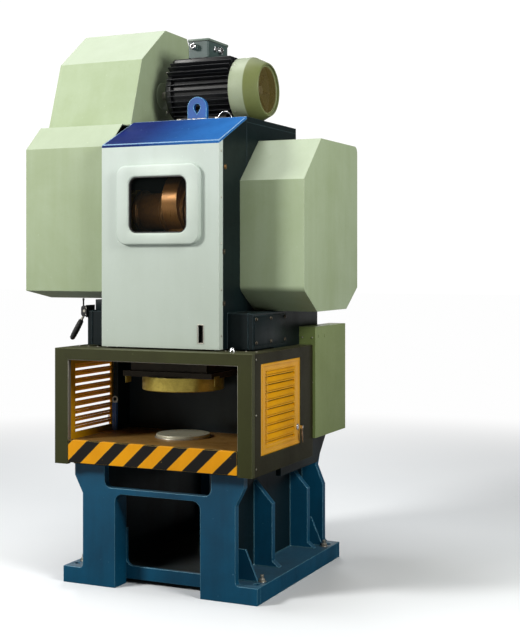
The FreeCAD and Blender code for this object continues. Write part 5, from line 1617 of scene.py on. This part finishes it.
@dataclass
class Motor(Assembly):
    """The finned motor, its terminal box with cable glands, and the fan cowl."""

    skin: float = 0.003
    lip: float = 0.008
    inset: float = 0.015
    straight: float = 0.09
    end_radius: float = 0.150
    fin_thick: float = 0.0035
    fin_reach: float = 0.196
    wire: float = 0.0012
    wire_pitch: float = 0.0088
    shaft_height: float = 0.19
    deck_half: float = 0.125
    deck_edge: float = 0.1265
    fin_square: float = 0.184
    fin_count: int = 36
    shield_bolt: float = 0.01
    shield_bolt_ring: float = 0.16
    foot_bolt: float = 0.016
    foot_apart: float = 0.14

    def palette(self) -> dict[str, str]:
        """Name the finish of each node."""
        return {"motor_housing": "motor_paint", "motor_rotor": "bare_steel",
                "motor_fan": "cast_iron", "motor_pulley": "cast_iron",
                "terminal_box": "box_grey"}

    def cowl(self) -> None:
        """Spin the cowl and lay the wire grille across its end."""
        low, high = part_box("fan_cowl")
        centre = (low + high) / 2
        radius = (high.y - low.y) / 2
        long = high.x - low.x
        inner = radius - self.skin
        rim = self.end_radius - self.lip
        grille = long - self.inset
        profile = [(inner, 0), (radius, 0), (radius, self.straight - 0.002),
                   (radius - 0.0006, self.straight + 0.002),
                   (self.end_radius + 0.0025, long - 0.006),
                   (self.end_radius - 0.0008, long - 0.0015),
                   (self.end_radius - 0.003, long),
                   (rim + 0.0015, long), (rim, long - 0.0015), (rim, grille),
                   (rim - 0.012, grille), (rim - 0.012, grille - self.skin),
                   (self.end_radius - self.skin, grille - self.skin),
                   (inner, self.straight)]
        shell = turned(profile, 96, closed=True)
        place = facing((low.x, centre.y, centre.z), Way.RIGHT)
        self.put("cowl_shell", Shape().join(shell, place), "cowl_paint", "cowl_paint",
                 instead=("fan_cowl",))
        wires = Shape()
        reach = rim - 0.001
        count = int(reach / self.wire_pitch)
        unit = Shape()
        bmesh.ops.create_cone(unit.mesh, cap_ends=True, segments=6, radius1=self.wire,
                              radius2=self.wire, depth=1.0)
        for turn in range(-count, count + 1):
            off = turn * self.wire_pitch
            chord = 2 * math.sqrt(reach ** 2 - off ** 2)
            for slant, lift in ((45, 0.0), (-45, self.wire * 1.6)):
                lay = (Matrix.Rotation(math.radians(slant), 4, "Z")
                       @ Matrix.Translation((off, 0, grille - 0.003 + lift))
                       @ Matrix.Rotation(math.radians(90), 4, "X")
                       @ Matrix.Diagonal((1, 1, chord, 1)))
                wires.join(unit, place @ lay)
        self.put("cowl_grille", wires, "grille_wire")
        screws = Shape()
        for turn in range(4):
            angle = math.radians(45 + 90 * turn)
            away = Vector((0, math.cos(angle), math.sin(angle)))
            spot = Vector((low.x + 0.02, centre.y, centre.z)) + away * (radius - 0.0005)
            screws.join(pan_screw(0.005), facing(spot, tuple(away)))
        self.put("cowl_screws", screws, "bare_steel")

    def terminal_box(self) -> None:
        """Fit the terminal box's lid, seal, screws and glands."""
        low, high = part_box("terminal_box")
        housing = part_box("motor_housing")
        wall = (housing[0].y + housing[1].y) / 2 - self.deck_half
        lid = block((low.x - 0.003, wall - 0.003, high.z - 0.004),
                    (high.x + 0.003, high.y + 0.003, high.z + 0.009), 0.003, 3)
        # The lid's lighter grey is painted top light.
        self.put("terminal_lid", lid, "box_lid_painted_light_grey", "cowl_paint")
        seal = block((low.x - 0.001, wall - 0.001, high.z - 0.007),
                     (high.x + 0.001, high.y + 0.001, high.z - 0.0042), 0.0005)
        self.put("terminal_seal", seal, "gasket_rubber")
        screws = Shape()
        for x in (low.x + 0.014, high.x - 0.014):
            for y in (wall + 0.014, high.y - 0.014):
                screws.join(pan_screw(0.006), facing((x, y, high.z + 0.0085), roll=y * 900))
        self.put("terminal_lid_screws", screws, "bare_steel")
        glands, plugs = Shape(), Shape()
        nut = turned([(0.012, 0), (0.023, 0), (0.0235, 0.002), (0.0235, 0.010),
                      (0.021, 0.012), (0.021, 0.017), (0.018, 0.021), (0.013, 0.022),
                      (0.012, 0.020)], 36, closed=True)
        plug = turned([(0, 0.002), (0.0122, 0.002), (0.0122, 0.018), (0, 0.018)], 24)
        gland = ((low.x + high.x) / 2 - 0.021, low.y + 0.006, high.z - 0.037)
        for place, way, size in ((gland, Way.FRONT, 0.8),
                                 ((high.x, wall + 0.075, high.z - 0.045), Way.RIGHT, 0.7),
                                 ((high.x, wall + 0.135, high.z - 0.045), Way.RIGHT, 1.0)):
            grown = facing(place, way) @ Matrix.Diagonal((size, size, size, 1))
            glands.join(nut, grown)
            plugs.join(plug, grown)
        self.put("gland_nuts", glands, "bright_chrome")
        self.put("gland_plugs", plugs, "gasket_rubber")

    def corner_fins(self) -> None:
        """Square off the barrel with longer fins at its upper corners."""
        low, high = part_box("motor_housing")
        centre = Vector((0, (low.y + high.y) / 2, low.z + self.shaft_height))
        fins = Shape()
        left, right = low.x + 0.024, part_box("fan_cowl")[0].x - 0.004
        for turn in range(self.fin_count):
            angle = math.tau * turn / self.fin_count
            across, up = math.cos(angle), math.sin(angle)
            if up < -0.1:
                continue
            square = self.fin_square / max(abs(across), abs(up))
            reach = min(square, self.fin_reach + 0.02)
            fin = block((left, -self.fin_thick / 2, 0.15),
                        (right, self.fin_thick / 2, reach), 0.0012)
            place = (Matrix.Translation(centre)
                     @ Matrix.Rotation(angle - math.pi / 2, 4, "X"))
            fins.join(fin, place)
        fins.join(block((left + 0.02, centre.y - self.deck_edge, centre.z + 0.15),
                        (right - 0.01, centre.y + self.deck_edge, centre.z + 0.1885),
                        0.006, 3))
        self.put("corner_fins", fins, "motor_paint")

    def end_shield(self) -> None:
        """Round the drive-end shield and bolt it to the barrel."""
        low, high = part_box("motor_housing")
        centre = Vector((0, (low.y + high.y) / 2, low.z + self.shaft_height))
        shield = turned([(0.05, -0.004), (0.13, -0.004), (0.158, 0.004), (0.172, 0.022),
                         (0.176, 0.045), (0.157, 0.05), (0.15, 0.02), (0.05, 0.006)], 72,
                        closed=True)
        place = facing((low.x, centre.y, centre.z), Way.RIGHT)
        self.put("drive_end_shield", Shape().join(shield, place), "motor_paint")
        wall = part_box("wheel_guard")[1].x
        collar = turned([(0.0245, 0.0005), (0.078, 0.0005), (0.078, 0.003), (0.074, 0.005),
                         (0.03, 0.008), (0.0245, 0.008)], 48, closed=True)
        self.put("shaft_collar", Shape().join(collar, facing((wall, centre.y, centre.z),
                                                             Way.RIGHT)),
                 "guard_paint")
        bolts = Shape()
        for turn in range(4):
            angle = math.radians(45 + 90 * turn)
            spot = (low.x - 0.0025, centre.y + self.shield_bolt_ring * math.cos(angle),
                    centre.z + self.shield_bolt_ring * math.sin(angle))
            bolts.join(hex_bolt(self.shield_bolt), facing(spot, Way.LEFT, turn * 17))
        self.put("shield_bolts", bolts, "bare_steel")

    def feet(self) -> None:
        """Bolt the motor's feet to the head."""
        low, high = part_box("motor_housing")
        centre = (low.y + high.y) / 2
        bolts = Shape()
        for x in (low.x + 0.085, high.x - 0.11):
            for y in (centre - self.foot_apart, centre + self.foot_apart):
                bolts.join(hex_bolt(self.foot_bolt),
                           facing((x, y, low.z + 0.018), roll=x * 300))
        self.put("motor_foot_bolts", bolts, "bare_steel")

    def build(self) -> None:
        """Make the motor's pieces."""
        self.cowl()
        self.terminal_box()
        self.corner_fins()
        self.end_shield()
        self.feet()


@dataclass
class Drive(Assembly):
    """The crank, rod, gears, shafts, slide and belts."""

    tab_thick: float = 0.004
    sleeve_start: float = 0.068
    sleeve_end: float = 0.252
    sleeve_radius: float = 0.104

    def palette(self) -> dict[str, str]:
        """Name the finish of each node."""
        return {"crankshaft": "oiled_steel", "main_gear": "oiled_steel",
                "pinion_shaft": "oiled_steel", "connecting_rod": "oiled_steel",
                "rod_screw": "bare_steel", "crank_bearings": "brass",
                "shaft_bearings": "cast_iron", "flywheel": "cast_iron",
                "brake_drum": "cast_iron", "v_belts": "belt_rubber",
                "slide": "cast_iron", "ram_ring": "brass", "slide_guides": "bed_steel"}

    def crank_sleeves(self) -> None:
        """Turn the polished sleeves and collars on the crankshaft's journals."""
        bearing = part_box("crank_bearings")
        middle = (bearing[0] + bearing[1]) / 2
        sleeves = Shape()
        inner, outer = self.sleeve_start, self.sleeve_end
        wide = outer - inner
        radius, collar = self.sleeve_radius, self.sleeve_radius + 0.016
        profile = [(0.06, 0), (collar - 0.004, 0), (collar, 0.004), (collar, 0.018),
                   (collar - 0.004, 0.022), (radius + 0.003, 0.022), (radius, 0.026),
                   (radius, wide - 0.026), (radius + 0.003, wide - 0.022),
                   (collar - 0.004, wide - 0.022), (collar, wide - 0.018),
                   (collar, wide - 0.004), (collar - 0.004, wide), (0.06, wide)]
        for way in (Way.LEFT, Way.RIGHT):
            start = (way.value[0] * inner, middle.y, middle.z)
            sleeves.join(turned(profile, 80, closed=True), facing(start, way))
        self.put("crank_sleeves", sleeves, "oiled_steel", "oiled_steel", "crank")

    def ring_bolts(self) -> None:
        """Sink the socket screws that hold the ring under the slide."""
        low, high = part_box("ram_ring")
        middle = (low + high) / 2
        radius = (high.x - low.x) / 2
        screws = Shape()
        for turn in range(8):
            angle = math.tau * (turn + 0.5) / 8
            place = (middle.x + radius * 0.86 * math.cos(angle),
                     middle.y + radius * 0.86 * math.sin(angle), low.z + 0.0055)
            screws.join(socket_screw(0.009), facing(place, Way.DOWN))
        self.put("ram_ring_screws", screws, "oiled_steel", "oiled_steel", "ram")

    def slide_highlight_tabs(self) -> None:
        """Fix the pale brass tabs on the ends of the slide's flange, a painted highlight where
        the flange's ends catch the light.
        """
        low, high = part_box("slide")
        tabs = Shape()
        for side in (-1, 1):
            face = low.x if side < 0 else high.x
            near, far = sorted((face, face + side * self.tab_thick))
            tabs.join(block((near, low.y + 0.03, low.z - 0.04),
                            (far, low.y + 0.09, low.z + 0.012), 0.0012))
        # Pale brass: painted highlight on the flange's ends.
        self.put("slide_highlight_tabs", tabs, "brass", "brass", "ram")

    def build(self) -> None:
        """Make the drive's pieces."""
        self.crank_sleeves()
        self.ring_bolts()
        self.slide_highlight_tabs()


@dataclass
class SideGear(Assembly):
    """The cabinet on the right and the hand lever on the left."""

    grip_start: float = 0.062
    grip_long: float = 0.127
    lean: float = 31.0

    def palette(self) -> dict[str, str]:
        """Name the finish of each node."""
        return {"side_cabinet": "cabinet_paint", "lever_clevis": "lever_black"}

    def lever(self) -> None:
        """Make the lever's grip, neck and pivot in place of the plain lever."""
        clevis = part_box("lever_clevis")
        joint = next(j for j in frame["joints"] if j["name"] == "hand_lever_swing")
        pivot = Vector(joint["pos_m"])
        angle = math.radians(self.lean)
        down = (-math.sin(angle), 0, -math.cos(angle))
        place = facing(pivot, down)
        start, long = self.grip_start, self.grip_long
        profile = [(0, start - 0.004), (0.0095, start - 0.004), (0.0115, start)]
        for turn in range(25):
            share = turn / 24
            swell = 0.0142 + 0.0024 * math.sin(math.pi * share) ** 0.6
            groove = 0.0007 * math.cos(turn * math.tau / 4)
            profile.append((swell + groove, start + 0.004 + share * (long - 0.016)))
        end = start + long
        profile += [(0.0125, end - 0.008), (0.008, end - 0.0025), (0, end - 0.0005)]
        self.put("lever_grip", Shape().join(turned(profile, 36), place), "lever_black",
                 "lever_black", "lever", instead=("hand_lever",))
        stem = turned([(0, 0), (0.007, 0), (0.007, start), (0, start)], 24)
        neck = Shape().join(stem, place)
        wide = (clevis[1].y - clevis[0].y) / 2
        across = facing(pivot, Way.FRONT)
        neck.join(turned([(0, -wide - 0.0005), (0.0078, -wide - 0.0005),
                          (0.0078, wide + 0.0005), (0, wide + 0.0005)], 24), across)
        neck.join(turned([(0.008, -0.0115), (0.0175, -0.0115), (0.018, -0.010),
                          (0.018, 0.010), (0.0175, 0.0115), (0.008, 0.0115)], 32,
                         closed=True), across)
        self.put("lever_neck", neck, "bare_steel", "bare_steel", "lever")

    def clevis_fixings(self) -> None:
        """Bolt the lever's bracket to the shoulder and stand its stop pin."""
        low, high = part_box("lever_clevis")
        pin = Shape().join(turned([(0, 0), (0.0045, 0), (0.0045, 0.03), (0.006, 0.032),
                                   (0.006, 0.040), (0.004, 0.043), (0, 0.0435)], 24),
                           facing((low.x + 0.013, low.y + 0.005, high.z - 0.002)))
        self.put("lever_stop_pin", pin, "lever_black")
        plate = block((high.x - 0.005, low.y - 0.022, low.z - 0.004),
                      (high.x - 0.0005, high.y + 0.022, high.z + 0.004), 0.001)
        self.put("lever_foot_plate", plate, "lever_black")
        bolts = Shape()
        for y in (low.y - 0.012, high.y + 0.012):
            for up in (low.z + 0.012, high.z - 0.012):
                bolts.join(hex_bolt(0.006),
                           facing((high.x - 0.005, y, up), Way.LEFT, up * 99))
        self.put("lever_plate_bolts", bolts, "bare_steel")

    def cabinet_fixings(self) -> None:
        """Hinge the cabinet at its rear edge and screw its front."""
        low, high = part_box("side_cabinet")
        hinges = Shape()
        for up in (low.z + 0.1, high.z - 0.1):
            hinges.join(turned([(0, 0), (0.006, 0), (0.006, 0.06), (0, 0.06)], 20),
                        Matrix.Translation((high.x - 0.006, high.y - 0.0065, up - 0.03)))
        self.put("cabinet_hinges", hinges, "oiled_steel")
        screws = Shape()
        for x in (low.x + 0.02, high.x - 0.02):
            for up in spread(low.z + 0.06, high.z - 0.06, 3):
                screws.join(pan_screw(0.005), facing((x, low.y, up), Way.FRONT, up * 800))
        self.put("cabinet_screws", screws, "bare_steel")

    def build(self) -> None:
        """Make the side pieces."""
        self.lever()
        self.clevis_fixings()
        self.cabinet_fixings()


# Stage ----------------------------------------------------------------------------------

@dataclass
class Studio:
    """The pale floor, the soft lights and the camera."""

    eye: tuple[float, float, float] = (3.1956, -6.2231, 1.75)
    turn: float = 24.7
    lens: float = 69.17
    rise: float = -0.0887
    floor_half: float = 60.0
    fade_near: float = 2.2
    fade_far: float = 7.5
    backdrop: float = 1.05
    fill: float = 0.055
    spot_place: tuple[float, float, float] = (0.75, -3.7, 2.7)
    spot_power: float = 260
    spot_angle: float = 5.6
    lamps: ClassVar[tuple] = (
        ("key", (-4.2, -5.0, 4.6), 1.7, 440, (1.0, 0.985, 0.95)),
        ("side", (4.6, -2.0, 3.9), 2.0, 200, (1.0, 0.99, 0.95)),
        ("top", (-1.0, -0.4, 7.0), 2.4, 170, (1.0, 1.0, 1.0)),
        ("rear", (-3.0, 6.0, 4.5), 2.6, 160, (1.0, 1.0, 1.0)),
    )

    def floor(self) -> None:
        """Lay the floor, which fades into the pale backdrop far away."""
        coat = Coat("floor")
        haze = coat.noise(0.6, 3, 0.5)
        colour = coat.mix(haze, tone(243, 246, 249), tone(237, 241, 246))
        cloth, matt, glow = (
            coat.node(kind, {}, {"Color": shade}).outputs[0]
            for kind, shade in (("ShaderNodeBsdfDiffuse", colour),
                                ("ShaderNodeBsdfDiffuse", tone(92, 94, 96)),
                                ("ShaderNodeEmission", tone(254, 254, 254))))
        ray = coat.node("ShaderNodeLightPath", {}, {}).outputs["Is Camera Ray"]
        seen = coat.node("ShaderNodeMixShader", {}, {0: ray, 1: matt, 2: cloth}).outputs[0]
        x, y, _ = coat.axes(coat.place)
        far = (x * x + y * y).ease(self.fade_near ** 2, self.fade_far ** 2)
        whole = coat.node("ShaderNodeMixShader", {}, {0: far, 1: seen, 2: glow}).outputs[0]
        shape = Shape()
        bmesh.ops.create_grid(shape.mesh, x_segments=1, y_segments=1, size=self.floor_half)
        mesh = bpy.data.meshes.new("floor")
        shape.mesh.to_mesh(mesh)
        shape.mesh.free()
        mesh.materials.append(coat.close(whole))
        floor = bpy.data.objects.new("floor", mesh)
        floor.location.z = -0.0005
        bpy.context.scene.collection.objects.link(floor)

    def lamp(self, name: str, place: tuple[float, float, float], size: float, power: float,
             colour: tuple[float, float, float]) -> None:
        """Hang a soft lamp aimed at the middle of the press.

        Args:
            name: The lamp's name.
            place: Where it hangs.
            size: Its width.
            power: Its power in watts.
            colour: Its colour.
        """
        light = bpy.data.lights.new(name, "AREA")
        light.shape = "DISK"
        light.size = size
        light.energy = power
        light.color = colour
        lamp = bpy.data.objects.new(name, light)
        lamp.location = place
        aim = Vector((0, 0, 1.4)) - Vector(place)
        lamp.rotation_euler = aim.to_track_quat("-Z", "Y").to_euler()
        bpy.context.scene.collection.objects.link(lamp)

    def sky(self) -> None:
        """Fill the surroundings with an even pale light, brighter where it is seen."""
        world = bpy.data.worlds.new("studio")
        bpy.context.scene.world = world
        world.use_nodes = True
        tree = world.node_tree
        tree.nodes.clear()
        seen = tree.nodes.new("ShaderNodeLightPath")
        shown = tree.nodes.new("ShaderNodeBackground")
        shown.inputs["Color"].default_value = (1.0, 1.0, 1.0, 1.0)
        shown.inputs["Strength"].default_value = self.backdrop
        lit = tree.nodes.new("ShaderNodeBackground")
        lit.inputs["Color"].default_value = (1.0, 0.97, 0.82, 1.0)
        lit.inputs["Strength"].default_value = self.fill
        blend = tree.nodes.new("ShaderNodeMixShader")
        output = tree.nodes.new("ShaderNodeOutputWorld")
        tree.links.new(seen.outputs["Is Camera Ray"], blend.inputs[0])
        tree.links.new(lit.outputs[0], blend.inputs[1])
        tree.links.new(shown.outputs[0], blend.inputs[2])
        tree.links.new(blend.outputs[0], output.inputs["Surface"])

    def camera(self) -> None:
        """Stand the camera at eye height, level, with the press in the middle."""
        lens = bpy.data.cameras.new("camera")
        lens.lens = self.lens
        lens.shift_y = self.rise
        camera = bpy.data.objects.new("camera", lens)
        camera.location = self.eye
        camera.rotation_euler = (math.radians(90), 0, math.radians(self.turn))
        bpy.context.scene.collection.objects.link(camera)
        bpy.context.scene.camera = camera

    def build(self) -> None:
        """Set the stage."""
        self.camera()
        self.floor()
        self.sky()
        for lamp in self.lamps:
            self.lamp(*lamp)
        self.window_light()
        bpy.context.scene.view_settings.view_transform = "Standard"

    def window_light(self) -> None:
        """Aim a narrow light through the window at the crankshaft."""
        low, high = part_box("window_pane")
        aim = (low + high) / 2 + Vector((-0.03, 0.2, 0.0))
        light = bpy.data.lights.new("window", "SPOT")
        light.energy = self.spot_power
        light.spot_size = math.radians(self.spot_angle)
        light.spot_blend = 0.4
        light.shadow_soft_size = 0.12
        light.color = (1.0, 0.94, 0.85)
        lamp = bpy.data.objects.new("window", light)
        lamp.location = self.spot_place
        lamp.rotation_euler = (aim - lamp.location).to_track_quat("-Z", "Y").to_euler()
        bpy.context.scene.collection.objects.link(lamp)


def main() -> None:
    """Dress the frame, add the small pieces and set the stage."""
    logging.basicConfig(level=logging.INFO, format="%(message)s")
    Studio().build()
    shop = Paintshop()
    for kind in (Base, Bed, Body, Head, Guards, Enclosure, Motor, Drive, SideGear):
        assembly = kind(shop)
        assembly.dress()
        assembly.build()
        log.info("%s done", kind.__name__)


if __name__ == "__main__":
    main()
